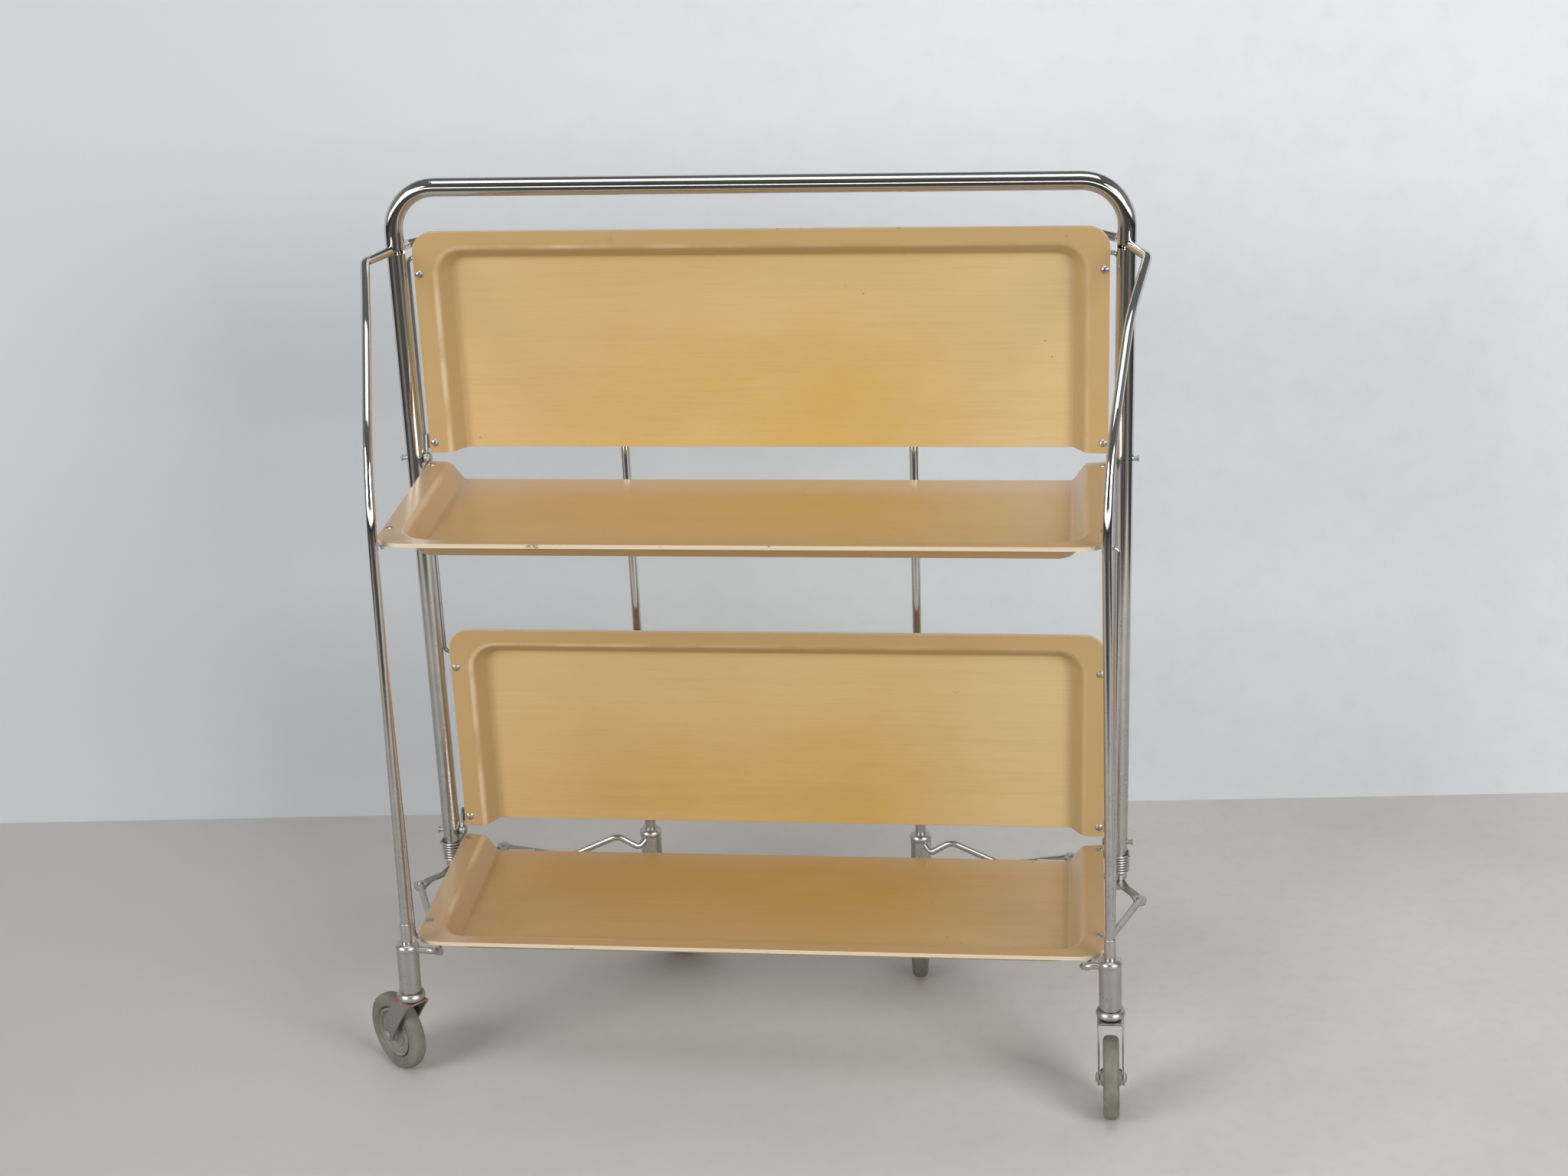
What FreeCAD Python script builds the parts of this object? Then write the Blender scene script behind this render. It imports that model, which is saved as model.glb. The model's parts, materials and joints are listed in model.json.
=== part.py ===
# Folding two-tier serving trolley: a U-shaped handle frame, four drop leaves in two tiers and
# four swinging legs on casters. The front half stands open, the rear half is folded.
# Working frame: X to the right, Y to the back, Z up, origin between the lower leaf hinges.
# At the end every node is levelled so that the four wheels stand on z = 0.
import FreeCAD
import Part
import Sketcher
import math
import os
from types import SimpleNamespace

Vector = FreeCAD.Vector
Rotation = FreeCAD.Rotation
Placement = FreeCAD.Placement

doc = FreeCAD.newDocument("serving_trolley")

# ---------------------------------------------------------------- driving dimensions (mm, degrees)
sizes = [
    ("tube_half", 308.5, "upright axis to the middle plane"),
    ("tube_dia", 16, "handle tube"),
    ("tube_wall", 1.5, "handle tube wall"),
    ("bar_bend", 38, "bend of the handle tube, to its axis"),
    ("tier_spacing", 368, "lower hinge axis to upper hinge axis"),
    ("swing_rise", 188, "leg arms above the upper hinge axis"),
    ("bar_rise", 53.2, "grip bar above the leg arms"),
    ("tube_drop", 36, "tube end below the lower hinge axis"),
    ("pin_dia", 4, "hinge pins, rivet shanks and link rods"),
    ("pin_proud", 3.4, "hinge pin beyond the tube"),
    ("head_dia", 6.6, "hinge pin head"),
    ("head_height", 1.6, "hinge pin head"),
    ("run_gap", 0.05, "radial clearance of a pin in its hole"),
    ("side_gap", 0.3, "play between plates that turn on one pin"),
    ("spacer_dia", 8, "spacer between tube and hinge eyes"),
    ("spacer_length", 1.4, "spacer between tube and hinge eyes"),
    ("plate", 1.6, "bracket sheet"),
    ("eye_radius", 4.5, "bracket eye round a pin"),
    ("leaf_gap", 0.5, "leaf end to the hinge eye beside it"),
    ("leaf_reach", 202, "hinge axis to the outer edge of a leaf"),
    ("leaf_start", 4, "hinge axis to the inner edge of a leaf"),
    ("leaf_thick", 3.6, "moulded plywood"),
    ("floor_depth", 18.4, "hinge axis to the tray floor"),
    ("rim_rise", 17, "tray floor to the outer edge of the rim"),
    ("rim_angle", 55, "slope of the rim"),
    ("rim_bend", 4, "hollow bend at the foot of the slope"),
    ("lip_bend", 3.5, "bend at the top of the slope, on the under side"),
    ("lip_angle", 4, "rise of the lip outside the slope"),
    ("end_lip", 15.5, "width of the lip at the ends"),
    ("outer_lip", 12, "width of the lip at the outer edge"),
    ("corner_flat", 10, "floor radius at a corner"),
    ("leaf_corner", 18, "outline radius of a leaf corner"),
    ("rivet_inset", 4.5, "leaf rivet to the end of the leaf"),
    ("bracket_depth", 13, "bracket sheet under the lip"),
    ("rivet_head", 7, "leaf rivet head"),
    ("rivet_dome", 1.3, "leaf rivet head height"),
    ("inner_rivet", 13.1, "hinge axis to the inner rivet"),
    ("outer_rivet", 165, "hinge axis to the outer rivet"),
    ("link_reach", 177, "hinge axis to the link rod pin"),
    ("link_depth", 11.5, "link rod pin below the hinge axis"),
    ("link_side", 6.5, "link rod axis inside the tube axis"),
    ("link_bend", 5, "link rod bend"),
    ("rod_dia", 8, "leg rod"),
    ("leg_gap", 6.5, "front leg axis beyond the leaf edge"),
    ("bulge_reach", 41, "front arm, first bend in front of the tube"),
    ("bulge_out", 16, "front arm, first bend outside the tube axis"),
    ("shoulder_reach", 106, "front arm, second bend in front of the tube"),
    ("shoulder_out", 1, "front arm, second bend outside the tube axis"),
    ("shoulder_fall", 33, "front arm, second bend below the pivot"),
    ("knee_in", 16.8, "front leg top, inside the tube axis"),
    ("knee_fall", 134, "front leg top, below the pivot"),
    ("foot_in", 9.3, "front ferrule, inside the tube axis"),
    ("foot_lean", 1.3, "front ferrule in front of the leg top"),
    ("foot_fall", 553.5, "front ferrule top below the pivot"),
    ("rear_in", 181, "rear leg inside the tube axis"),
    ("rear_gap", 4.5, "rear arm behind the folded leaf"),
    ("rear_lean", 4.5, "rear ferrule behind the arm"),
    ("rear_fall", 568.5, "rear ferrule top below the pivot"),
    ("sleeve_dia", 9.8, "sleeve round the rod above a ferrule"),
    ("sleeve_length", 19, "sleeve"),
    ("seat_gap", 0.02, "radial clearance of a pressed or welded seat"),
    ("ferrule_dia", 19, "caster ferrule"),
    ("ferrule_length", 47.5, "caster ferrule"),
    ("rod_socket", 18, "depth of the rod in the ferrule"),
    ("ring_dia", 25, "collar ring under the ferrule"),
    ("ring_height", 7.5, "collar ring"),
    ("stem_dia", 8, "caster stem"),
    ("stem_length", 34, "caster stem above the crown"),
    ("caster_gap", 0.4, "crown below the collar ring"),
    ("trail", 25.5, "axle behind the stem"),
    ("axle_drop", 44.3, "axle below the collar ring"),
    ("wheel_radius", 35, "tyre"),
    ("tyre_width", 13.5, "tyre"),
    ("tyre_edge", 3, "rounding of the tyre edge"),
    ("hub_radius", 22.5, "hub rim"),
    ("hub_width", 18, "hub boss"),
    ("axle_dia", 5, "caster axle"),
    ("fork_gap", 0.5, "hub boss to fork cheek"),
    ("fork_plate", 1.8, "fork sheet"),
    ("brace_dia", 6, "outrigger rod"),
    ("knee_out", 18.5, "outrigger end outside the tube axis, leg open"),
    ("knee_reach", 57.5, "outrigger end in front of the tube, leg open"),
    ("knee_level", -27.5, "outrigger end, height"),
    ("loop_in", 43.2, "outrigger end inside the tube axis, leg folded"),
    ("loop_back", 20, "outrigger end behind the tube, leg folded"),
    ("spring_wire", 2, "leg spring"),
    ("spring_turns", 7, "leg spring"),
    ("spring_pitch", 2.6, "leg spring"),
    ("spring_top", 9, "leg spring below the lower hinge axis"),
    ("spring_gap", 0.25, "leg spring round the tube"),
    ("swing_pin", 4, "upright pin inside the tube"),
    ("tongue", 2.8, "thickness of the leg tongue in the slot"),
    ("open_swing", 77, "swing of a leg from folded to open"),
]

sheet = doc.addObject("Spreadsheet::Sheet", "dims")
for row, (alias, number, note) in enumerate(sizes, start=1):
    sheet.set("A%d" % row, alias)
    sheet.set("B%d" % row, str(number))
    sheet.set("C%d" % row, note)
    sheet.setAlias("B%d" % row, alias)
doc.recompute()
size = SimpleNamespace(**{alias: float(sheet.get(alias)) for alias, number, note in sizes})

# ---------------------------------------------------------------- derived places
tube_radius = size.tube_dia / 2
pivot_level = size.tier_spacing + size.swing_rise
bar_level = pivot_level + size.bar_rise
pin_radius = size.pin_dia / 2
rod_radius = size.rod_dia / 2
brace_radius = size.brace_dia / 2
tongue_half = size.rod_dia * 0.35

# the stack on a hinge pin, from the tube inwards: spacer, rear eye, front eye, pin head
spacer_outer = size.tube_half - tube_radius - size.run_gap
spacer_inner = spacer_outer - size.spacer_length
rear_eye_outer = spacer_inner - size.side_gap / 3
front_eye_outer = rear_eye_outer - size.plate - size.side_gap
front_eye_inner = front_eye_outer - size.plate
leaf_half = front_eye_inner - size.leaf_gap
pin_outer = size.tube_half + tube_radius + size.pin_proud

# rim section, measured outwards from a corner axis: slope between two bends, then the lip
slope = math.radians(size.rim_angle)
tilt = math.radians(size.lip_angle)
lip_outer_bend = size.lip_bend + size.leaf_thick
slope_length = (size.rim_rise - size.rim_bend * (1 - math.cos(slope))
                - lip_outer_bend * (math.cos(tilt) - math.cos(slope))
                - size.end_lip * math.tan(tilt)) / math.sin(slope)
slope_run = (size.rim_bend * math.sin(slope) + slope_length * math.cos(slope)
             + lip_outer_bend * (math.sin(slope) - math.sin(tilt)))
corner_x = leaf_half - size.corner_flat - slope_run - size.end_lip
corner_reach = size.leaf_reach - size.corner_flat - slope_run - size.outer_lip
lip_top = size.rim_rise - size.floor_depth
lip_under = lip_top - size.leaf_thick / math.cos(tilt)

link_x = size.tube_half - size.link_side


def point(x, y, z):
    return Vector(x, y, z)


def swing_point(x_out, y, fall=0.0):
    """Point given from the right-hand leg pivot: outwards, to the back, downwards."""
    return point(size.tube_half + x_out, y, pivot_level - fall)


# corners of the leg rods, from the upright axis down to the ferrule top, and their bends
front_arm = [swing_point(0, 0),
             swing_point(size.bulge_out, -size.bulge_reach),
             swing_point(size.shoulder_out, -size.shoulder_reach, size.shoulder_fall),
             swing_point(-size.knee_in, -size.leaf_reach - size.leg_gap, size.knee_fall),
             swing_point(-size.foot_in, -size.leaf_reach - size.leg_gap - size.foot_lean,
                         size.foot_fall)]
front_bends = [12, 120, 150]
behind = size.floor_depth + size.leaf_thick + size.rear_gap + rod_radius
rear_arm = [swing_point(0, 0),
            swing_point(-0.2 * behind, 0.56 * behind),
            swing_point(-0.66 * behind, behind),
            swing_point(-size.rear_in, behind),
            swing_point(-size.rear_in - 0.5, behind + size.rear_lean, size.rear_fall)]
rear_bends = [8, 12, 14]


# ---------------------------------------------------------------- helpers: solids
def mirror_point(spot, side):
    return point(side * spot.x, spot.y, spot.z)


def bent_wire(corners, bends):
    """Straight runs through the corners, joined by tangent arcs."""
    edges = []
    start = corners[0]
    for index, bend in enumerate(bends, start=1):
        corner = corners[index]
        before = (corners[index - 1] - corner).normalize()
        after = (corners[index + 1] - corner).normalize()
        half = before.getAngle(after) / 2
        setback = bend / math.tan(half)
        inward = (before + after).normalize()
        arc_start = corner + before * setback
        arc_middle = corner + inward * (bend / math.sin(half) - bend)
        arc_end = corner + after * setback
        edges.append(Part.LineSegment(start, arc_start).toShape())
        edges.append(Part.Arc(arc_start, arc_middle, arc_end).toShape())
        start = arc_end
    edges.append(Part.LineSegment(start, corners[-1]).toShape())
    return Part.Wire(edges)


def rod_along(corners, bends, radius):
    wire = bent_wire(corners, bends)
    direction = (corners[1] - corners[0]).normalize()
    circle = Part.Wire([Part.Circle(corners[0], direction, radius).toShape()])
    return wire.makePipeShell([circle], True, False)


def cylinder(base, tip, radius):
    along = tip - base
    return Part.makeCylinder(radius, along.Length, base, along)


def prism(outline, travel):
    face = Part.Face(Part.makePolygon(outline + outline[:1]))
    return face.extrude(travel)


def fused(first, *others):
    return first.fuse(list(others)).removeSplitter()


def frame_at(origin, x_axis, z_axis):
    """Placement with Z along z_axis and X as near to x_axis as that allows."""
    up = Vector(z_axis).normalize()
    across = up.cross(x_axis).normalize()
    ahead = across.cross(up)
    matrix = FreeCAD.Matrix(ahead.x, across.x, up.x, origin.x,
                            ahead.y, across.y, up.y, origin.y,
                            ahead.z, across.z, up.z, origin.z,
                            0, 0, 0, 1)
    return Placement(matrix)


# ---------------------------------------------------------------- helpers: document objects
nodes = []


def number_of(expression):
    return float(sheet.evalExpression(str(expression)))


def lathe(name, outline):
    """Body turned about its Z axis; the outline lists (radius, height) expressions."""
    body = doc.addObject("PartDesign::Body", name)
    plane = [item for item in body.Origin.OriginFeatures if item.Role == "XZ_Plane"][0]
    sketch = body.newObject("Sketcher::SketchObject", name + "_profile")
    sketch.AttachmentSupport = [(plane, "")]
    sketch.MapMode = "FlatFace"
    corners = [Vector(number_of(radius), number_of(height), 0) for radius, height in outline]
    count = len(corners)
    for index in range(count):
        sketch.addGeometry(Part.LineSegment(corners[index], corners[(index + 1) % count]))
    for index in range(count):
        sketch.addConstraint(Sketcher.Constraint("Coincident", index, 2, (index + 1) % count, 1))
    for index, (radius, height) in enumerate(outline):
        if radius == "0":
            sketch.addConstraint(Sketcher.Constraint("PointOnObject", index, 1, -2))
        else:
            fix(sketch, "DistanceX", index, corners[index].x, radius)
        if height == "0":
            sketch.addConstraint(Sketcher.Constraint("PointOnObject", index, 1, -1))
        else:
            fix(sketch, "DistanceY", index, corners[index].y, height)
    turn = body.newObject("PartDesign::Revolution", name + "_turn")
    turn.Profile = sketch
    turn.ReferenceAxis = (sketch, ["V_Axis"])
    turn.Angle = 360
    body.Tip = turn
    return body


def fix(sketch, kind, index, value, expression):
    constraint = sketch.addConstraint(Sketcher.Constraint(kind, -1, 1, index, 1, value))
    sketch.setExpression("Constraints[%d]" % constraint, expression)


def feature(name, shape, placement=Placement()):
    item = doc.addObject("Part::Feature", name)
    item.Shape = shape
    item.Placement = placement.multiply(shape.Placement)
    return item


def copy_of(source, name, placement):
    link = doc.addObject("App::Link", name)
    link.LinkedObject = source
    link.Placement = placement
    return link


def mirrored(source, name):
    twin = doc.addObject("Part::Mirroring", name)
    twin.Source = source
    twin.Normal = Vector(1, 0, 0)
    return twin


def node(name, *pieces):
    group = doc.addObject("Part::Compound", name)
    group.Label = name
    group.Links = list(pieces)
    nodes.append(group)
    return group


def both_sides(name, right_shape):
    right = feature(name + "_right", right_shape)
    return node(name, right, mirrored(right, name + "_left"))


X_AXIS = Vector(1, 0, 0)
along_x = Rotation(Vector(0, 1, 0), 90)
against_x = Rotation(Vector(0, 1, 0), -90)


# ---------------------------------------------------------------- handle frame
def handle_bar(radius):
    foot = -size.tube_drop
    corners = [point(-size.tube_half, 0, foot), point(-size.tube_half, 0, bar_level),
               point(size.tube_half, 0, bar_level), point(size.tube_half, 0, foot)]
    return rod_along(corners, [size.bar_bend, size.bar_bend], radius)


def swing_slot(side, arm, tongue_side):
    """Sector cut in the tube wall, through which a leg tongue swings."""
    play = size.side_gap / 2
    height = size.tongue + 3 * play
    base = pivot_level - play
    if tongue_side < 0:
        base = pivot_level + play - height
    spare = 3 + math.degrees(math.asin(tongue_half / (tube_radius - size.tube_wall)))
    heading = math.degrees(math.atan2(arm[1].y - arm[0].y, arm[1].x - arm[0].x))
    sector = Part.makeCylinder(tube_radius * 1.5, height, point(0, 0, 0), Vector(0, 0, 1),
                               size.open_swing + 2 * spare)
    turn = Rotation(Vector(0, 0, 1), heading - size.open_swing - spare)
    sector.Placement = Placement(point(size.tube_half, 0, base), turn)
    if side < 0:
        sector = sector.mirror(point(0, 0, 0), X_AXIS)
    return sector


tube_outside = feature("handle_outside", handle_bar(tube_radius))
tube_bore = feature("handle_bore", handle_bar(tube_radius - size.tube_wall))
tube_blank = doc.addObject("Part::Cut", "handle_blank")
tube_blank.Base = tube_outside
tube_blank.Tool = tube_bore
drills = []
for side, side_name in ((1, "right"), (-1, "left")):
    for level, level_name in ((0, "lower"), (size.tier_spacing, "upper")):
        drill = doc.addObject("Part::Cylinder", "drill_%s_%s" % (level_name, side_name))
        drill.setExpression("Radius", "dims.pin_dia / 2 + dims.run_gap")
        drill.setExpression("Height", "dims.tube_dia * 2")
        drill.Placement = Placement(point(side * size.tube_half - size.tube_dia, 0, level), along_x)
        drills.append(drill)
    for arm, tongue_side, arm_name in ((front_arm, -1, "front"), (rear_arm, 1, "rear")):
        drills.append(feature("slot_%s_%s" % (arm_name, side_name),
                              swing_slot(side, arm, tongue_side)))
cutters = doc.addObject("Part::MultiFuse", "handle_cutters")
cutters.Shapes = drills
tube_cut = doc.addObject("Part::Cut", "handle_cut")
tube_cut.Base = tube_blank
tube_cut.Tool = cutters
node("handle_tube", tube_cut)

# plug in the foot of each upright; the lower arms of both legs turn on its neck
plug = lathe("plug", [
    ("0", "-(dims.tube_drop + 12)"),
    ("dims.tube_dia * 0.22", "-(dims.tube_drop + 12)"),
    ("dims.tube_dia * 0.375", "-(dims.tube_drop + 9)"),
    ("dims.tube_dia * 0.375", "-(dims.tube_drop + 3 * dims.side_gap + 2 * dims.plate)"),
    ("dims.tube_dia * 0.22", "-(dims.tube_drop + 3 * dims.side_gap + 2 * dims.plate)"),
    ("dims.tube_dia * 0.22", "-dims.tube_drop"),
    ("dims.tube_dia / 2 - dims.tube_wall - dims.seat_gap", "-dims.tube_drop"),
    ("dims.tube_dia / 2 - dims.tube_wall - dims.seat_gap", "-(dims.tube_drop - 20)"),
    ("0", "-(dims.tube_drop - 20)"),
])
neck_radius = size.tube_dia * 0.22
node("tube_plugs",
     copy_of(plug, "plug_right", Placement(point(size.tube_half, 0, 0), Rotation())),
     copy_of(plug, "plug_left", Placement(point(-size.tube_half, 0, 0), Rotation())))

# upright pin inside the tube, held by two blocks; it carries the tongues of both legs
block_inner = size.tongue + 3
block_height = 6
swing_pin = lathe("swing_pin", [
    ("0", "-14"), ("dims.swing_pin / 2", "-14"), ("dims.swing_pin / 2", "14"), ("0", "14"),
])
node("swing_pins",
     copy_of(swing_pin, "swing_pin_right", Placement(swing_point(0, 0), Rotation())),
     copy_of(swing_pin, "swing_pin_left",
             Placement(point(-size.tube_half, 0, pivot_level), Rotation())))
block = lathe("block", [
    ("dims.swing_pin / 2 + dims.seat_gap", "0"),
    ("dims.tube_dia / 2 - dims.tube_wall - dims.seat_gap", "0"),
    ("dims.tube_dia / 2 - dims.tube_wall - dims.seat_gap", str(block_height)),
    ("dims.swing_pin / 2 + dims.seat_gap", str(block_height)),
])
blocks = []
for side, side_name in ((1, "right"), (-1, "left")):
    for base, level_name in ((block_inner, "top"), (-block_inner - block_height, "bottom")):
        spot = point(side * size.tube_half, 0, pivot_level + base)
        blocks.append(copy_of(block, "block_%s_%s" % (level_name, side_name),
                              Placement(spot, Rotation())))
node("swing_pin_blocks", *blocks)


# coil spring round the foot of each upright, as one ribbed sleeve
spring_bore = "dims.tube_dia / 2 + dims.spring_gap"
spring_height = size.spring_turns * size.spring_pitch
spring_outline = [(spring_bore, "0"), (spring_bore + " + dims.spring_wire * 0.4", "0")]
for turn in range(int(size.spring_turns)):
    for share in (0.25, 0.75):
        spring_outline.append((spring_bore + " + dims.spring_wire",
                               "dims.spring_pitch * %.2f" % (turn + share)))
    spring_outline.append((spring_bore + " + dims.spring_wire * 0.4",
                           "dims.spring_pitch * %d" % (turn + 1)))
spring_outline.append((spring_bore, "dims.spring_pitch * %d" % size.spring_turns))
spring = lathe("spring", spring_outline)
spring_foot = -size.spring_top - spring_height
node("leg_springs",
     copy_of(spring, "spring_right", Placement(point(size.tube_half, 0, spring_foot), Rotation())),
     copy_of(spring, "spring_left", Placement(point(-size.tube_half, 0, spring_foot), Rotation())))

# ---------------------------------------------------------------- hinge pins and spacers
pin_inner = front_eye_inner - size.run_gap
shank = "%.6f" % (pin_outer - pin_inner)
hinge_pin = lathe("hinge_pin", [
    ("0", "-dims.head_height"),
    ("dims.head_dia * 0.3", "-dims.head_height"),
    ("dims.head_dia / 2", "-dims.head_height / 2"),
    ("dims.head_dia / 2", "0"),
    ("dims.pin_dia / 2", "0"),
    ("dims.pin_dia / 2", shank),
    ("dims.head_dia * 0.45", shank),
    ("dims.head_dia * 0.45", shank + " + dims.head_height / 2"),
    ("dims.head_dia * 0.25", shank + " + dims.head_height"),
    ("0", shank + " + dims.head_height"),
])
spacer = lathe("spacer", [
    ("dims.pin_dia / 2 + dims.run_gap", "0"),
    ("dims.spacer_dia / 2", "0"),
    ("dims.spacer_dia / 2", "dims.spacer_length"),
    ("dims.pin_dia / 2 + dims.run_gap", "dims.spacer_length"),
])
pins = []
spacers = []
for level, level_name in ((0, "lower"), (size.tier_spacing, "upper")):
    for side, side_name, turn in ((1, "right", along_x), (-1, "left", against_x)):
        tag = "%s_%s" % (level_name, side_name)
        pins.append(copy_of(hinge_pin, "pin_" + tag,
                            Placement(point(side * pin_inner, 0, level), turn)))
        spacers.append(copy_of(spacer, "spacer_" + tag,
                               Placement(point(side * spacer_inner, 0, level), turn)))
node("hinge_pins", *pins)
node("hinge_spacers", *spacers)


# ---------------------------------------------------------------- leaves
# Leaf frame: hinge axis along X, the open leaf reaches towards -Y, its hollow faces +Z.
def rim_section():
    """Section of floor edge and rim in a plane: radius from the corner axis, height."""
    floor_top = -size.floor_depth
    flat = size.corner_flat
    thick = size.leaf_thick
    foot = point(flat, 0, floor_top + size.rim_bend)
    up_slope = Vector(math.cos(slope), 0, math.sin(slope))
    along_lip = Vector(math.cos(tilt), 0, math.sin(tilt))

    def beside(angle):
        return Vector(-math.sin(angle), 0, math.cos(angle))

    crest = foot - beside(slope) * (size.rim_bend + lip_outer_bend) + up_slope * slope_length
    # long enough to fill the rounded corners of the outline
    spare = (size.end_lip + size.leaf_corner * 0.5) / math.cos(tilt)

    def layer(depth):
        hollow = size.rim_bend + depth
        crown = lip_outer_bend - depth
        return [foot - beside(0) * hollow, foot - beside(slope / 2) * hollow,
                foot - beside(slope) * hollow, crest + beside(slope) * crown,
                crest + beside((slope + tilt) / 2) * crown, crest + beside(tilt) * crown,
                crest + beside(tilt) * crown + along_lip * spare]

    top = layer(0)
    under = layer(thick)
    edges = []
    for side in (top, under):
        edges += [Part.Arc(side[0], side[1], side[2]).toShape(),
                  Part.LineSegment(side[2], side[3]).toShape(),
                  Part.Arc(side[3], side[4], side[5]).toShape(),
                  Part.LineSegment(side[5], side[6]).toShape()]
    axis_top = point(0, 0, floor_top)
    axis_under = point(0, 0, floor_top - thick)
    edges += [Part.LineSegment(axis_top, top[0]).toShape(),
              Part.LineSegment(axis_under, under[0]).toShape(),
              Part.LineSegment(axis_top, axis_under).toShape(),
              Part.LineSegment(top[6], under[6]).toShape()]
    return Part.Face(Part.Wire(Part.__sortEdges__(edges)))


def leaf_outline():
    """Prism over the plan of a leaf, with its two rounded corners."""
    ends = [point(-leaf_half, -size.leaf_start, -2 * size.floor_depth),
            point(-leaf_half, -size.leaf_reach, -2 * size.floor_depth),
            point(leaf_half, -size.leaf_reach, -2 * size.floor_depth),
            point(leaf_half, -size.leaf_start, -2 * size.floor_depth)]
    wire = bent_wire(ends, [size.leaf_corner, size.leaf_corner])
    closing = Part.LineSegment(ends[-1], ends[0]).toShape()
    face = Part.Face(Part.Wire(wire.Edges + [closing]))
    return face.extrude(point(0, 0, 3 * size.floor_depth))


def lip_point(inset, reach, depth=0.0):
    """Point on the right-hand end lip, at a depth below its upper face."""
    top = point(leaf_half - inset, -reach, lip_top - inset * math.tan(tilt))
    return top - lip_normal(1) * depth


def lip_normal(side):
    """Unit normal of an end lip, upwards."""
    return Vector(-side * math.sin(tilt), 0, math.cos(tilt))


def leaf_shape():
    section = rim_section()
    end_rim = section.copy()
    end_rim.translate(point(corner_x, -size.leaf_start, 0))
    end_rim = end_rim.extrude(point(0, size.leaf_start - corner_reach, 0))
    corner = section.copy()
    corner.translate(point(corner_x, -corner_reach, 0))
    corner = corner.revolve(point(corner_x, -corner_reach, 0), Vector(0, 0, 1), -90)
    front_rim = section.copy()
    front_rim.rotate(point(0, 0, 0), Vector(0, 0, 1), -90)
    front_rim.translate(point(-corner_x, -corner_reach, 0))
    front_rim = front_rim.extrude(point(2 * corner_x, 0, 0))
    floor = Part.makeBox(2 * corner_x, corner_reach - size.leaf_start, size.leaf_thick,
                         point(-corner_x, -corner_reach, -size.floor_depth - size.leaf_thick))
    origin = point(0, 0, 0)
    whole = fused(floor, end_rim, end_rim.mirror(origin, X_AXIS), corner,
                  corner.mirror(origin, X_AXIS), front_rim).common(leaf_outline())
    holes = []
    for reach in (size.inner_rivet, size.outer_rivet):
        hole = rivet_hole(reach)
        holes += [hole, hole.mirror(origin, X_AXIS)]
    return whole.cut(holes)


def rivet_hole(reach):
    return cylinder(lip_point(size.rivet_inset, reach, -5),
                    lip_point(size.rivet_inset, reach, size.leaf_thick + 5),
                    pin_radius + size.run_gap)


def lip_sheet(outer_x, near, far):
    """Bracket sheet against the under side of the right-hand end lip."""
    inner_x = leaf_half - size.bracket_depth

    def under(x, drop):
        return point(x, -near, lip_under - size.run_gap - (leaf_half - x) * math.tan(tilt) - drop)

    outline = [under(inner_x, 0), under(outer_x, 0),
               under(outer_x, size.plate), under(inner_x, size.plate)]
    return prism(outline, point(0, near - far, 0))


def hinge_bracket(ear_inner):
    """Right-hand hinge bracket: eye on the hinge pin, sheet riveted under the lip."""
    near = size.inner_rivet - 6
    far = size.inner_rivet + 7
    ear_outer = ear_inner + size.plate
    low = lip_under - size.plate
    outline = [point(ear_inner, 0, size.eye_radius), point(ear_inner, -near, 0),
               point(ear_inner, -far, lip_under + 2), point(ear_inner, -far, low),
               point(ear_inner, -near, low), point(ear_inner, 0, -size.eye_radius)]
    ear = prism(outline, point(size.plate, 0, 0))
    eye = Part.makeCylinder(size.eye_radius, size.plate, point(ear_inner, 0, 0), X_AXIS)
    pin_hole = Part.makeCylinder(pin_radius + size.run_gap, 4 * size.plate,
                                 point(ear_inner - size.plate, 0, 0), X_AXIS)
    bracket = fused(ear, eye, lip_sheet(ear_outer, near, far))
    return bracket.cut([pin_hole, rivet_hole(size.inner_rivet)])


def link_bracket():
    """Right-hand outer bracket: ear for the link rod, sheet riveted under the lip."""
    near = size.outer_rivet - 6
    far = size.outer_rivet + 6
    ear_inner = leaf_half - size.plate
    high = lip_under - size.run_gap - 2 * size.plate * math.tan(tilt)
    low = -size.link_depth - size.eye_radius
    outline = [point(ear_inner, -near, high), point(ear_inner, -size.link_reach, high),
               point(ear_inner, -size.link_reach, low), point(ear_inner, -near, low + 4)]
    ear = prism(outline, point(size.plate, 0, 0))
    spot = point(ear_inner, -size.link_reach, -size.link_depth)
    eye = Part.makeCylinder(size.eye_radius, size.plate, spot, X_AXIS)
    pin_hole = Part.makeCylinder(pin_radius + size.run_gap, 4 * size.plate,
                                 spot - X_AXIS * size.plate, X_AXIS)
    bracket = fused(ear, eye, lip_sheet(leaf_half, near, far))
    return bracket.cut([pin_hole, rivet_hole(size.outer_rivet)])


def to_front(level):
    return Placement(point(0, 0, level), Rotation())


def to_rear(level):
    """Turns the open front leaf into the folded rear one."""
    back = Rotation(Vector(0, 0, 1), 180)
    stand = Rotation(X_AXIS, 90)
    return Placement(point(0, 0, level), stand.multiply(back))


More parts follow.
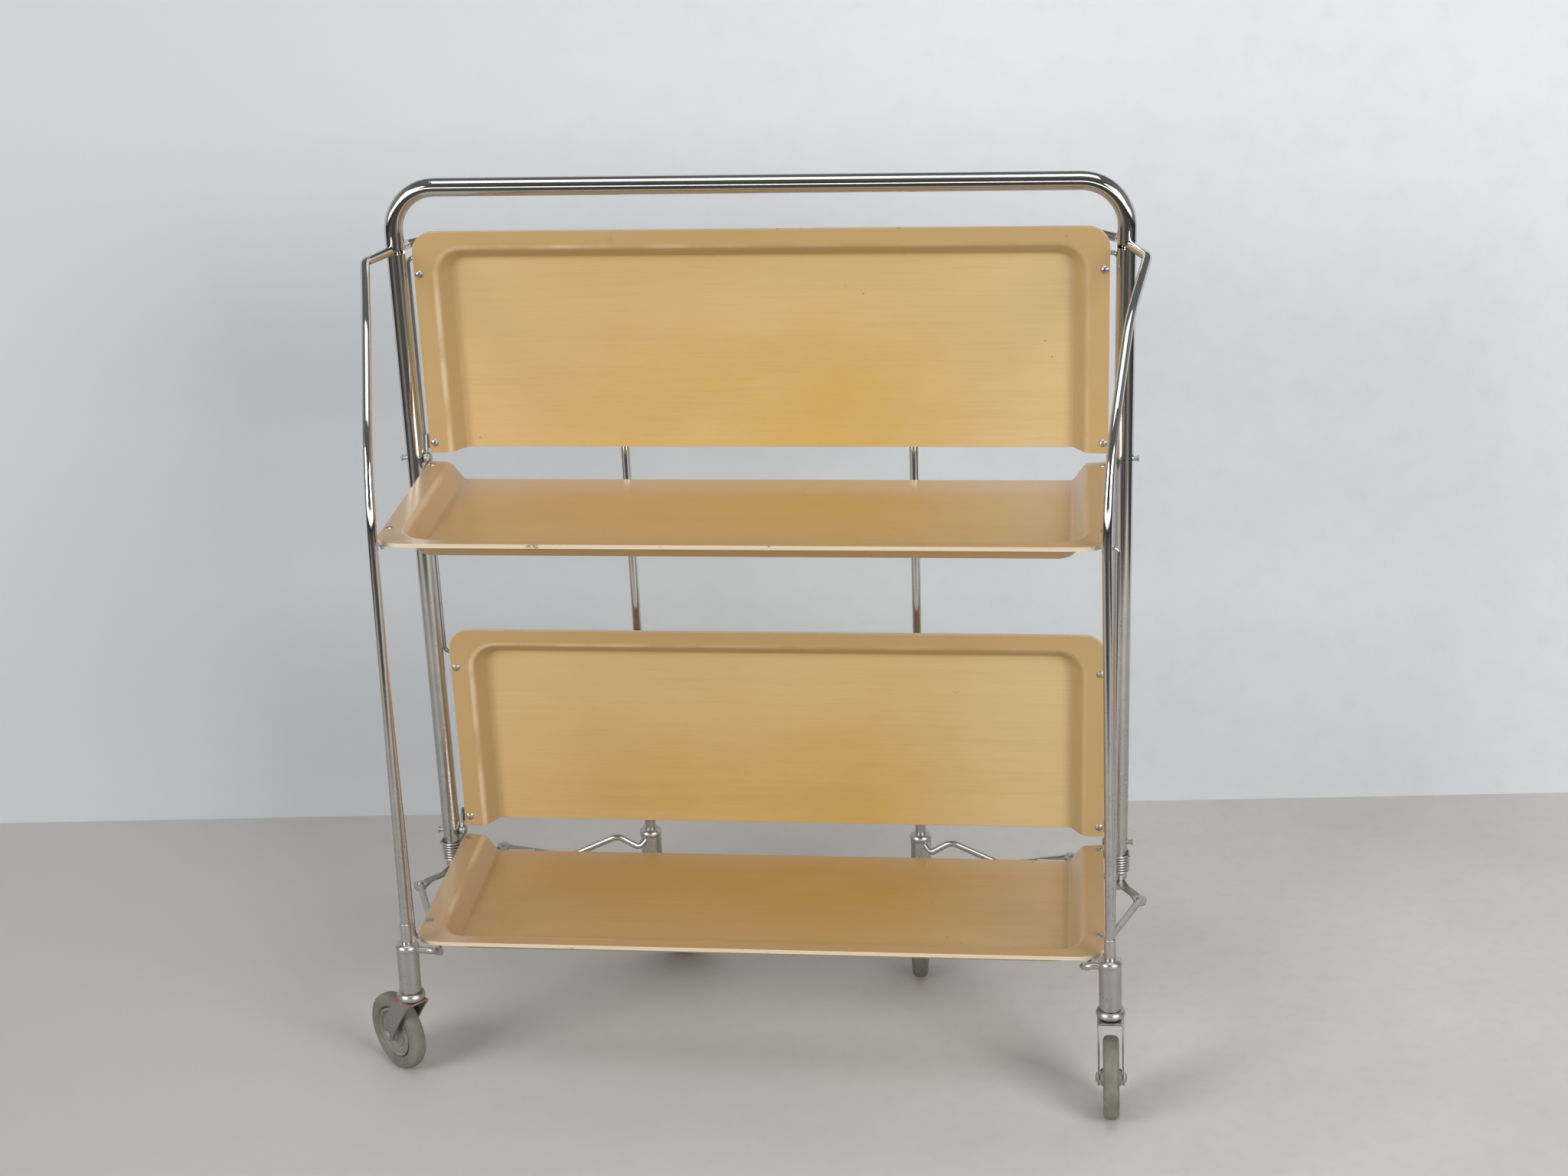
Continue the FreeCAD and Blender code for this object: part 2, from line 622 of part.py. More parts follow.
leaf_solid = leaf_shape()
front_hinge_solid = hinge_bracket(front_eye_inner)
rear_hinge_solid = hinge_bracket(front_eye_outer + size.side_gap)
link_bracket_solid = link_bracket()
rivet_length = size.leaf_thick + size.plate + 2 * size.run_gap
rivet = lathe("leaf_rivet", [
    ("0", "dims.rivet_dome"),
    ("dims.rivet_head * 0.2", "dims.rivet_dome"),
    ("dims.rivet_head * 0.38", "dims.rivet_dome * 0.65"),
    ("dims.rivet_head / 2", "dims.run_gap"),
    ("dims.pin_dia / 2", "dims.run_gap"),
    ("dims.pin_dia / 2", "-(dims.leaf_thick + dims.plate + 3 * dims.run_gap)"),
    ("dims.rivet_head * 0.3", "-(dims.leaf_thick + dims.plate + 3 * dims.run_gap)"),
    ("dims.rivet_head * 0.25", "-(dims.leaf_thick + dims.plate + 3 * dims.run_gap + 1.2)"),
    ("0", "-(dims.leaf_thick + dims.plate + 3 * dims.run_gap + 1.2)"),
])

leaf_sets = [
    ("front_upper", "front_upper", to_front(size.tier_spacing), front_hinge_solid),
    ("front_lower", "front_lower", to_front(0), front_hinge_solid),
    ("rear_upper", "rear", to_rear(size.tier_spacing), rear_hinge_solid),
    ("rear_lower", "rear", to_rear(0), rear_hinge_solid),
]
origin = point(0, 0, 0)
fittings = {}
for leaf_name, moving_name, seat, hinge_solid in leaf_sets:
    node(leaf_name + "_leaf", feature(leaf_name + "_board", leaf_solid, seat))
    for bracket_name, solid in (("_hinge_brackets", hinge_solid),
                                ("_link_brackets", link_bracket_solid)):
        pair = Part.makeCompound([solid, solid.mirror(origin, X_AXIS)])
        bracket_pair = feature(leaf_name + bracket_name + "_pair", pair, seat)
        fittings.setdefault(moving_name + bracket_name, []).append(bracket_pair)
    copies = fittings.setdefault(moving_name + "_leaf_rivets", [])
    for reach in (size.inner_rivet, size.outer_rivet):
        spot = lip_point(size.rivet_inset, reach)
        for side in (1, -1):
            place = frame_at(mirror_point(spot, side), Vector(0, 1, 0), lip_normal(side))
            tag = "%s_rivet_%d" % (leaf_name, len(copies))
            copies.append(copy_of(rivet, tag, seat.multiply(place)))
for fitting_name, pieces in fittings.items():
    node(fitting_name, *pieces)


# ---------------------------------------------------------------- link rods between the tiers
def link_rod(y, lower):
    """Right-hand rod, hooked through the link brackets of both tiers."""
    end = leaf_half - size.plate - 2.5
    upper = lower + size.tier_spacing
    corners = [point(end, y, lower), point(link_x, y, lower),
               point(link_x, y, upper), point(end, y, upper)]
    return rod_along(corners, [size.link_bend, size.link_bend], pin_radius)


both_sides("front_link_rods", link_rod(-size.link_reach, -size.link_depth))
both_sides("rear_link_rods", link_rod(size.link_depth, size.link_reach))


# ---------------------------------------------------------------- legs
def leg_axis(arm):
    """Direction up the straight lower part of a leg."""
    return (arm[-2] - arm[-1]).normalize()


def leg_rod(arm, bends, tongue_side):
    """Bent rod with a flat tongue on its upper end and its foot in the ferrule."""
    outward = (arm[1] - arm[0]).normalize()
    start = arm[0] + outward * (tube_radius + 1)
    foot = arm[-1] - leg_axis(arm) * (size.rod_socket - 1)
    rod = rod_along([start] + arm[1:-1] + [foot], bends, rod_radius)
    base = 0.0
    if tongue_side < 0:
        base = -size.tongue
    base += tongue_side * size.side_gap / 2
    across = outward.cross(Vector(0, 0, 1)) * tongue_half
    tip = arm[0] + outward * (tube_radius + 3)
    lift = point(0, 0, base)
    tongue = prism([arm[0] + across + lift, arm[0] - across + lift,
                    tip - across + lift, tip + across + lift], point(0, 0, size.tongue))
    eye = Part.makeCylinder(size.swing_pin + 0.8, size.tongue, arm[0] + lift)
    hole = Part.makeCylinder(size.swing_pin / 2 + size.run_gap, 4 * size.tongue,
                             arm[0] - point(0, 0, 2 * size.tongue))
    return fused(rod, tongue, eye).cut(hole)


def foot_frame(arm, ahead):
    """Frame of a ferrule: origin under its collar ring, Z up the leg."""
    up = leg_axis(arm)
    base = arm[-1] - up * (size.ferrule_length + size.ring_height)
    return frame_at(base, ahead, up)


ferrule = lathe("ferrule", [
    ("dims.stem_dia / 2 + dims.run_gap", "dims.ring_height"),
    ("dims.ferrule_dia / 2", "dims.ring_height"),
    ("dims.ferrule_dia / 2", "dims.ring_height + dims.ferrule_length - 6"),
    ("dims.ferrule_dia / 2 + 0.7", "dims.ring_height + dims.ferrule_length - 5"),
    ("dims.ferrule_dia / 2 + 0.7", "dims.ring_height + dims.ferrule_length - 3.5"),
    ("dims.ferrule_dia / 2 - 0.5", "dims.ring_height + dims.ferrule_length - 1.5"),
    ("dims.ferrule_dia / 2 - 2.5", "dims.ring_height + dims.ferrule_length"),
    ("dims.rod_dia / 2 + dims.seat_gap", "dims.ring_height + dims.ferrule_length"),
    ("dims.rod_dia / 2 + dims.seat_gap", "dims.ring_height + dims.ferrule_length - dims.rod_socket"),
    ("0", "dims.ring_height + dims.ferrule_length - dims.rod_socket"),
    ("0", "dims.stem_length + 1"),
    ("dims.stem_dia / 2 + dims.run_gap", "dims.stem_length + 1"),
])
ring = lathe("collar_ring", [
    ("dims.stem_dia / 2 + dims.run_gap", "0"),
    ("dims.ring_dia / 2 - 2", "0"),
    ("dims.ring_dia / 2", "2"),
    ("dims.ring_dia / 2", "dims.ring_height - 2"),
    ("dims.ring_dia / 2 - 2", "dims.ring_height"),
    ("dims.stem_dia / 2 + dims.run_gap", "dims.ring_height"),
])
sleeve = lathe("sleeve", [
    ("dims.rod_dia / 2 + dims.seat_gap", "dims.ring_height + dims.ferrule_length"),
    ("dims.sleeve_dia / 2", "dims.ring_height + dims.ferrule_length"),
    ("dims.sleeve_dia / 2", "dims.ring_height + dims.ferrule_length + dims.sleeve_length"),
    ("dims.rod_dia / 2 + dims.seat_gap",
     "dims.ring_height + dims.ferrule_length + dims.sleeve_length"),
])


def brace_rod(corners, bends):
    """Outrigger: spigot in the ferrule wall, bent rod, eye over the lower arm."""
    end = corners[-1]
    back = (corners[-2] - end).normalize()
    stop = end + back * (pin_radius + 2)
    rod = rod_along(corners[:-1] + [stop], bends, brace_radius)
    eye = Part.makeCylinder(brace_radius + 3, size.plate * 2, end - point(0, 0, size.plate))
    hole = Part.makeCylinder(pin_radius + size.seat_gap, size.brace_dia * 3,
                             end - point(0, 0, size.brace_dia * 1.5))
    level = Part.makeBox(60, 60, 30, end + point(-30, -30, -size.plate - 30))
    return fused(rod, eye).cut([hole, level])


def lower_arm(end, eye_level):
    """Strip from the plug neck to the outrigger eye, cranked up to its level."""
    centre = point(size.tube_half, 0, eye_level)
    flat = point(end.x - centre.x, end.y, 0)
    reach = flat.Length
    flat.normalize()
    across = flat.cross(Vector(0, 0, 1)) * 4
    rise = end.z - size.plate - size.run_gap - size.plate - eye_level

    def station(distance, lift):
        return centre + flat * distance + point(0, 0, lift)

    low = [station(6, 0), station(reach * 0.3, 0), station(reach * 0.75, rise), station(reach, rise)]
    top = [spot + point(0, 0, size.plate) for spot in low]
    outline = [spot - across for spot in low + top[::-1]]
    strip = prism(outline, across * 2)
    eye = Part.makeCylinder(neck_radius + 3, size.plate, centre)
    pad = Part.makeCylinder(5, size.plate, station(reach, rise))
    neck_hole = Part.makeCylinder(neck_radius + size.run_gap, 4 * size.plate,
                                  centre - point(0, 0, size.plate))
    rivet_gap = Part.makeCylinder(pin_radius + size.seat_gap, 4 * size.plate,
                                  station(reach, rise - size.plate))
    return fused(strip, eye, pad).cut([neck_hole, rivet_gap])


def knee_rivet(end):
    """Rivet through the outrigger eye and the lower arm."""
    low = end.z - 2 * size.plate - 2 * size.run_gap
    top = end.z + size.plate + size.run_gap
    base = point(end.x, end.y, 0)
    shank_part = cylinder(base + point(0, 0, low), base + point(0, 0, top), pin_radius)
    lower_head = Part.makeCone(2.4, 3.4, 1.4, base + point(0, 0, low - 1.4))
    upper_head = Part.makeCone(3.4, 2.0, 1.6, base + point(0, 0, top))
    return fused(shank_part, lower_head, upper_head)


front_foot = foot_frame(front_arm, Vector(0, -1, 0))
rear_foot = foot_frame(rear_arm, Vector(0, -1, 0))
ferrule_wall = size.ferrule_dia / 2

front_end = point(size.tube_half + size.knee_out, -size.knee_reach, size.knee_level)
front_top = front_arm[-1]
under_leaf = -size.floor_depth - size.leaf_thick - brace_radius - 1.8
front_brace = [point(front_top.x - 5.6, front_top.y, front_top.z - 7.5),
               point(front_top.x - 23, front_top.y + 1, front_top.z - 8.5),
               point(front_top.x - 19, front_top.y + 33, under_leaf),
               front_end]
rear_end = point(size.tube_half - size.loop_in, size.loop_back, size.knee_level)
rear_top = rear_arm[-1]
rear_brace = [point(rear_top.x + 3.4, rear_top.y - 4.5, rear_top.z - 8.5),
              point(rear_top.x + 10, rear_top.y - 12.5, rear_top.z - 14.5),
              point(rear_top.x + 29, rear_top.y - 14.5, rear_top.z - 2),
              point(rear_top.x + 76, rear_top.y - 15.5, rear_top.z - 24),
              rear_end]

front_eye_level = -size.tube_drop - size.side_gap - size.plate
rear_eye_level = front_eye_level - size.side_gap - size.plate
front_leg_solid = leg_rod(front_arm, front_bends, -1)
rear_leg_solid = leg_rod(rear_arm, rear_bends, 1)
front_brace_solid = brace_rod(front_brace, [8, 12])
rear_brace_solid = brace_rod(rear_brace, [5, 10, 25])


def socket_of(corners):
    """Hole in the ferrule wall for the spigot of the outrigger."""
    inside = corners[0] + (corners[0] - corners[1]).normalize()
    return cylinder(inside, corners[1], brace_radius + size.seat_gap)


def leg_nodes(prefix, arm, foot, rod, brace, brace_corners, end, eye_level, sides):
    """All pieces of a leg, for one side or for both in shared nodes."""
    ferrule_copy = copy_of(ferrule, prefix + "_ferrule_blank", foot)
    cutter = feature(prefix + "_brace_socket", socket_of(brace_corners))
    drilled = doc.addObject("Part::Cut", prefix + "_ferrule_drilled")
    drilled.Base = ferrule_copy
    drilled.Tool = cutter
    left_foot = frame_at(mirror_point(foot.Base, -1), Vector(0, -1, 0),
                         mirror_point(leg_axis(arm), -1))
    pieces = [
        ("leg_rod", feature(prefix + "_rod_right", rod), None),
        ("leg_sleeve", copy_of(sleeve, prefix + "_sleeve_right", foot),
         copy_of(sleeve, prefix + "_sleeve_left", left_foot)),
        ("ferrule", drilled, None),
        ("collar_ring", copy_of(ring, prefix + "_ring_right", foot),
         copy_of(ring, prefix + "_ring_left", left_foot)),
        ("outrigger", feature(prefix + "_brace_right", brace), None),
        ("lower_arm", feature(prefix + "_arm_right", lower_arm(end, eye_level)), None),
        ("knee_rivet", feature(prefix + "_knee_right", knee_rivet(end)), None),
    ]
    for piece_name, piece, twin in pieces:
        if twin is None:
            twin = mirrored(piece, prefix + "_" + piece_name + "_twin")
        if sides == "together":
            node("%s_%ss" % (prefix, piece_name), piece, twin)
        else:
            node("%s_right_%s" % (prefix, piece_name), piece)
            node("%s_left_%s" % (prefix, piece_name), twin)


leg_nodes("front", front_arm, front_foot, front_leg_solid, front_brace_solid, front_brace,
          front_end, front_eye_level, "together")
leg_nodes("rear", rear_arm, rear_foot, rear_leg_solid, rear_brace_solid, rear_brace,
          rear_end, rear_eye_level, "apart")

# ---------------------------------------------------------------- casters
# Caster frame: origin under the collar ring, Z up the stem, X towards the axle.
inner_cheek = size.hub_width / 2 + size.fork_gap
outer_cheek = inner_cheek + size.fork_plate


def fork_shape():
    top = -size.caster_gap
    crown = Part.makeBox(25, 2 * outer_cheek, size.fork_plate,
                         point(-12, -outer_cheek, top - size.fork_plate))
    cheeks = []
    for side in (1, -1):
        y = inner_cheek if side > 0 else -outer_cheek
        outline = [point(-12, y, top), point(13, y, top),
                   point(size.trail + 6.5, y, -size.axle_drop + 2.5),
                   point(size.trail - 5.5, y, -size.axle_drop - 4.5)]
        cheek = prism(outline, point(0, size.fork_plate, 0))
        boss = Part.makeCylinder(7, size.fork_plate, point(size.trail, y, -size.axle_drop),
                                 Vector(0, 1, 0))
        cheeks += [cheek, boss]
    stem = Part.makeCylinder(size.stem_dia / 2, size.stem_length, point(0, 0, top - 1))
    hole = Part.makeCylinder(size.axle_dia / 2 + size.run_gap, 4 * outer_cheek,
                             point(size.trail, -2 * outer_cheek, -size.axle_drop), Vector(0, 1, 0))
    return fused(crown, stem, *cheeks).cut(hole)


half_axle = "(dims.hub_width / 2 + dims.fork_gap + dims.fork_plate + dims.run_gap)"
axle = lathe("axle", [
    ("0", "-" + half_axle + " - 1.8"),
    ("dims.axle_dia * 0.4", "-" + half_axle + " - 1.8"),
    ("dims.axle_dia * 0.85", "-" + half_axle + " - 0.8"),
    ("dims.axle_dia * 0.85", "-" + half_axle),
    ("dims.axle_dia / 2", "-" + half_axle),
    ("dims.axle_dia / 2", half_axle),
    ("dims.axle_dia * 0.85", half_axle),
    ("dims.axle_dia * 0.85", half_axle + " + 0.8"),
    ("dims.axle_dia * 0.4", half_axle + " + 1.8"),
    ("0", half_axle + " + 1.8"),
])
hub = lathe("hub", [
    ("dims.axle_dia / 2 + dims.run_gap", "-dims.hub_width / 2"),
    ("dims.axle_dia / 2 + 5", "-dims.hub_width / 2"),
    ("dims.axle_dia / 2 + 6", "-dims.hub_width * 0.2"),
    ("dims.hub_radius - 4", "-dims.hub_width * 0.2"),
    ("dims.hub_radius - 3", "-dims.tyre_width / 2 + 0.5"),
    ("dims.hub_radius", "-dims.tyre_width / 2 + 0.5"),
    ("dims.hub_radius", "dims.tyre_width / 2 - 0.5"),
    ("dims.hub_radius - 3", "dims.tyre_width / 2 - 0.5"),
    ("dims.hub_radius - 4", "dims.hub_width * 0.2"),
    ("dims.axle_dia / 2 + 6", "dims.hub_width * 0.2"),
    ("dims.axle_dia / 2 + 5", "dims.hub_width / 2"),
    ("dims.axle_dia / 2 + dims.run_gap", "dims.hub_width / 2"),
])
tyre = lathe("tyre", [
    ("dims.hub_radius + dims.seat_gap", "-dims.tyre_width / 2"),
    ("dims.wheel_radius - dims.tyre_edge", "-dims.tyre_width / 2"),
    ("dims.wheel_radius - dims.tyre_edge * 0.3", "-dims.tyre_width / 2 + dims.tyre_edge * 0.3"),
    ("dims.wheel_radius", "-dims.tyre_width / 2 + dims.tyre_edge"),
    ("dims.wheel_radius", "dims.tyre_width / 2 - dims.tyre_edge"),
    ("dims.wheel_radius - dims.tyre_edge * 0.3", "dims.tyre_width / 2 - dims.tyre_edge * 0.3"),
    ("dims.wheel_radius - dims.tyre_edge", "dims.tyre_width / 2"),
    ("dims.hub_radius + dims.seat_gap", "dims.tyre_width / 2"),
])
tyre_corners = [
    (size.wheel_radius, size.tyre_width / 2 - size.tyre_edge),
    (size.wheel_radius - size.tyre_edge * 0.3, size.tyre_width / 2 - size.tyre_edge * 0.3),
    (size.wheel_radius - size.tyre_edge, size.tyre_width / 2),
]


# each wheel trails its stem in the direction it was last rolled
trails = [
    ("front_left", -1, front_foot, front_arm, Vector(-0.74, 0.67, 0)),
    ("front_right", 1, front_foot, front_arm, Vector(0, -1, 0)),
    ("rear_left", -1, rear_foot, rear_arm, Vector(1, 0.05, 0)),
    ("rear_right", 1, rear_foot, rear_arm, Vector(0, -1, 0)),
]
casters = []
for caster_name, side, foot, arm, ahead in trails:
    base = mirror_point(foot.Base, side)
    stem_up = mirror_point(leg_axis(arm), side)
    casters.append(SimpleNamespace(name=caster_name, frame=frame_at(base, ahead, stem_up),
                                   up=stem_up))


def lowest_point(caster, up):
    """Lowest point of the wheel of a caster, for a given upward direction."""
    centre = caster.frame.multVec(point(size.trail, 0, -size.axle_drop))
    spin = caster.frame.Rotation.multVec(Vector(0, 1, 0))
    down = -up
    radial = (down - spin * down.dot(spin)).normalize()
    side = 1 if down.dot(spin) > 0 else -1
    best = None
    for radius, half_width in tyre_corners:
        spot = centre + radial * radius + spin * (side * half_width)
        if best is None or spot.dot(up) < best.dot(up):
            best = spot
    return best


# three wheels settle the floor plane; the stem of the fourth hangs lower until it touches too
floor_up = Vector(0, 0, 1)
for settle in range(30):
    first, second, third = [lowest_point(casters[index], floor_up) for index in (0, 1, 3)]
    floor_up = (second - first).cross(third - first).normalize()
    if floor_up.z < 0:
        floor_up = -floor_up
loose = casters[2]
droop = (lowest_point(loose, floor_up) - first).dot(floor_up) / loose.up.dot(floor_up)
loose.frame.Base = loose.frame.Base - loose.up * droop

fork = feature("fork", fork_shape())
spin_turn = Placement(point(size.trail, 0, -size.axle_drop), Rotation(X_AXIS, -90))
for caster in casters:
    wheel_frame = caster.frame.multiply(spin_turn)
    node(caster.name + "_fork", copy_of(fork, caster.name + "_fork_copy", caster.frame))
    node(caster.name + "_axle", copy_of(axle, caster.name + "_axle_copy", wheel_frame))
    node(caster.name + "_hub", copy_of(hub, caster.name + "_hub_copy", wheel_frame))
    node(caster.name + "_tyre", copy_of(tyre, caster.name + "_tyre_copy", wheel_frame))

doc.recompute()

# ---------------------------------------------------------------- levelling
turn_level = Rotation(floor_up, Vector(0, 0, 1))
level = Placement(point(0, 0, 0), turn_level)
wheel_height = turn_level.multVec(first).z
low_corner = Vector(1e6, 1e6, 1e6)
high_corner = Vector(-1e6, -1e6, -1e6)
for group in nodes:
    shape = group.Shape.copy()
    shape.Placement = level
    box = shape.optimalBoundingBox(False)
    low_corner = Vector(min(low_corner.x, box.XMin), min(low_corner.y, box.YMin),
                        min(low_corner.z, box.ZMin))
    high_corner = Vector(max(high_corner.x, box.XMax), max(high_corner.y, box.YMax),
                         max(high_corner.z, box.ZMax))
middle = (low_corner + high_corner) * 0.5
level.Base = point(-middle.x, -middle.y, -wheel_height)
for group in nodes:
    group.Placement = level
doc.recompute()

# ---------------------------------------------------------------- checks and export
for item in doc.Objects:
    if "Invalid" in item.State or "Error" in item.State:
        raise RuntimeError("%s failed: %s" % (item.Name, item.State))
for group in nodes:
    if group.Shape.isNull() or not group.Shape.isValid():
        raise RuntimeError("%s has no valid shape" % group.Label)

os.makedirs("parts", exist_ok=True)
for group in nodes:
    group.Shape.exportStep("parts/%s.step" % group.Label)


def tell(name, place, direction):
    spot = level.multVec(place)
    way = level.Rotation.multVec(direction)
    print("place %s %.4f %.4f %.4f %.6f %.6f %.6f" % (name, spot.x, spot.y, spot.z,
                                                     way.x, way.y, way.z))


print("nodes", len(nodes))
print("box", low_corner, high_corner, "droop", droop)
tell("lower_hinge", point(0, 0, 0), -X_AXIS)
tell("upper_hinge", point(0, 0, size.tier_spacing), -X_AXIS)
tell("link_pin", point(0, -size.link_reach, size.tier_spacing - size.link_depth), -X_AXIS)
tell("right_swing", swing_point(0, 0), Vector(0, 0, -1))
tell("left_swing", mirror_point(swing_point(0, 0), -1), Vector(0, 0, 1))
for caster in casters:
    tell(caster.name + "_stem", caster.frame.Base, caster.up)
    tell(caster.name + "_axle", caster.frame.multVec(point(size.trail, 0, -size.axle_drop)),
         caster.frame.Rotation.multVec(Vector(0, 1, 0)))
tell("across", point(0, 0, 0), X_AXIS)
tell("back", point(0, 0, 0), Vector(0, 1, 0))
tell("tray_floor", point(0, -(size.leaf_start + corner_reach) / 2,
                         size.tier_spacing - size.floor_depth), Vector(0, 0, 1))
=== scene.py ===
import json
import bpy
import numpy as np
from mathutils import Matrix, Vector


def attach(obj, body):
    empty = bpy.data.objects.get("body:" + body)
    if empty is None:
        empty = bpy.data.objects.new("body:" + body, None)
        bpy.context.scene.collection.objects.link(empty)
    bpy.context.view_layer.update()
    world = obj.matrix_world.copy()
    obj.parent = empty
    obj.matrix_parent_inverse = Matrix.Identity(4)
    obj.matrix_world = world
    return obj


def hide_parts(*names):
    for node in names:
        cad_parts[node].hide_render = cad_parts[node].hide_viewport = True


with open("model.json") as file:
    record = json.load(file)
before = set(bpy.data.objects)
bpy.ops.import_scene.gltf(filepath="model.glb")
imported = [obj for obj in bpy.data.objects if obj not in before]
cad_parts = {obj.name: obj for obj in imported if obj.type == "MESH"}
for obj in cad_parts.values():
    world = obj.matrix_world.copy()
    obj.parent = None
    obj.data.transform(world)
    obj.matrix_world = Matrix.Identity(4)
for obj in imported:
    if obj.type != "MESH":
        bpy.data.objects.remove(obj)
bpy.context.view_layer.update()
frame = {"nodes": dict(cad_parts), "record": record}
print("frame loaded:", len(frame["nodes"]), "nodes")

# places and directions that the joints give
jointOf = {j["name"]: j for j in frame["record"]["behaviour"]["joints"]}


def jointPlace(name):
    j = jointOf[name]
    return Vector(j["pos_m"]), Vector(j["axis"]).normalized()


hingeUpper = jointPlace("front_upper_fold")[0]
hingeLower, minusAcross = jointPlace("front_lower_fold")
minusUp = jointPlace("rear_right_swing")[1]
acrossDir = -minusAcross
upDir = -minusUp
backDir = upDir.cross(acrossDir)


# small helpers for meshes
def addObject(name, mesh, mat, body=None):
    obj = bpy.data.objects.new(name, mesh)
    bpy.context.scene.collection.objects.link(obj)
    obj.data.materials.append(mat)
    if body:
        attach(obj, body)
    return obj


def gridMesh(name, pts, closeRows=False, closeCols=False, caps=False):
    # faces between neighbouring points of an array (rows, columns, 3); caps close the first and the last row
    n, m = pts.shape[:2]
    i = np.arange(n if closeRows else n - 1)[:, None]
    j = np.arange(m if closeCols else m - 1)[None, :]
    i2, j2 = (i + 1) % n, (j + 1) % m
    faces = np.stack([i * m + j, i2 * m + j, i2 * m + j2, i * m + j2], -1).reshape(-1, 4).tolist()
    if caps:
        faces.append(np.arange(m).tolist())
        faces.append((np.arange(m)[::-1] + (n - 1) * m).tolist())
    mesh = bpy.data.meshes.new(name)
    mesh.from_pydata(pts.reshape(-1, 3).tolist(), [], faces)
    mesh.validate()
    mesh.update()
    return mesh


def smooth(obj, angle):
    obj.data.polygons.foreach_set("use_smooth", np.ones(len(obj.data.polygons), bool))
    if angle < 180:
        with bpy.context.temp_override(object=obj, active_object=obj, selected_editable_objects=[obj]):
            bpy.ops.object.shade_smooth_by_angle(angle=np.radians(angle))


def turned(profile, origin, axis, side, segments):
    # point = origin + axis * height + radius * (side * cos a + other * sin a)
    # profile rows are (radius, height)
    axis, side = np.array(axis), np.array(side)
    side = side - axis * side.dot(axis)
    side /= np.linalg.norm(side)
    other = np.cross(axis, side)
    a = np.linspace(0, 2 * np.pi, segments, endpoint=False)
    ring = np.cos(a)[:, None] * side + np.sin(a)[:, None] * other
    r, h = profile[:, 0], profile[:, 1]
    return np.array(origin) + h[:, None, None] * axis + r[:, None, None] * ring[None]


def roundedProfile(corners, radius, steps):
    # every corner of the open outline becomes a quadratic curve between points set back by radius
    c = np.array(corners, float)
    before, after = c[1:-1] - c[:-2], c[2:] - c[1:-1]
    lb, la = np.linalg.norm(before, axis=1), np.linalg.norm(after, axis=1)
    rb = np.minimum(radius, lb * 0.49)[:, None]
    ra = np.minimum(radius, la * 0.49)[:, None]
    p0 = c[1:-1] - before / lb[:, None] * rb
    p2 = c[1:-1] + after / la[:, None] * ra
    t = np.linspace(0, 1, steps)[None, :, None]
    curve = (1 - t) ** 2 * p0[:, None] + 2 * t * (1 - t) * c[1:-1][:, None] + t ** 2 * p2[:, None]
    return np.concatenate([c[:1], curve.reshape(-1, 2), c[-1:]])


# small helpers for materials
def newMaterial(name):
    mat = bpy.data.materials.new(name)
    mat.use_nodes = True
    tree = mat.node_tree
    return mat, tree, tree.nodes["Principled BSDF"]


def put(tree, socket, value):
    if isinstance(value, bpy.types.NodeSocket):
        tree.links.new(value, socket)
    else:
        socket.default_value = value


def calc(tree, op, a, b=0.0, clamp=False):
    n = tree.nodes.new("ShaderNodeMath")
    n.operation = op
    n.use_clamp = clamp
    put(tree, n.inputs[0], a)
    put(tree, n.inputs[1], b)
    return n.outputs[0]


def times(tree, a, b, clamp=False):
    return calc(tree, "MULTIPLY", a, b, clamp)


def plus(tree, a, b, clamp=False):
    return calc(tree, "ADD", a, b, clamp)


def minus(tree, a, b, clamp=False):
    return calc(tree, "SUBTRACT", a, b, clamp)


def beyond(tree, value, edge):
    # how far the value lies past the edge, never below zero
    return calc(tree, "MAXIMUM", minus(tree, value, edge), 0.0)


def longSide(tree, a, b):
    # root of a squared plus b squared
    return calc(tree, "SQRT", plus(tree, times(tree, a, a), times(tree, b, b)))


def blendColors(tree, share, a, b):
    n = tree.nodes.new("ShaderNodeMix")
    n.data_type = "RGBA"
    put(tree, n.inputs[0], share)
    put(tree, n.inputs[6], a)
    put(tree, n.inputs[7], b)
    return n.outputs[2]


def span(tree, value, low, high, outLow=0.0, outHigh=1.0, soft=True):
    n = tree.nodes.new("ShaderNodeMapRange")
    n.interpolation_type = "SMOOTHSTEP" if soft else "LINEAR"
    put(tree, n.inputs[0], value)
    for k, v in enumerate((low, high, outLow, outHigh)):
        n.inputs[k + 1].default_value = v
    return n.outputs[0]


def mapping(tree, vector, **values):
    n = tree.nodes.new("ShaderNodeMapping")
    put(tree, n.inputs[0], vector)
    for key, value in values.items():
        n.inputs[key].default_value = value
    return n.outputs[0]


def noise(tree, vector, scale, detail=3.0, rough=0.5, stretch=None):
    if stretch:
        vector = mapping(tree, vector, Scale=stretch)
    n = tree.nodes.new("ShaderNodeTexNoise")
    put(tree, n.inputs["Vector"], vector)
    n.inputs["Scale"].default_value = scale
    n.inputs["Detail"].default_value = detail
    n.inputs["Roughness"].default_value = rough
    return n.outputs[0]


def specks(tree, vector, scale, size):
    # 1 inside small dots, 0 elsewhere
    n = tree.nodes.new("ShaderNodeTexVoronoi")
    put(tree, n.inputs["Vector"], vector)
    n.inputs["Scale"].default_value = scale
    return span(tree, n.outputs["Distance"], size, size * 0.5)


def place(tree):
    return tree.nodes.new("ShaderNodeTexCoord").outputs["Object"]


def parts(tree, vector):
    n = tree.nodes.new("ShaderNodeSeparateXYZ")
    put(tree, n.inputs[0], vector)
    return n.outputs


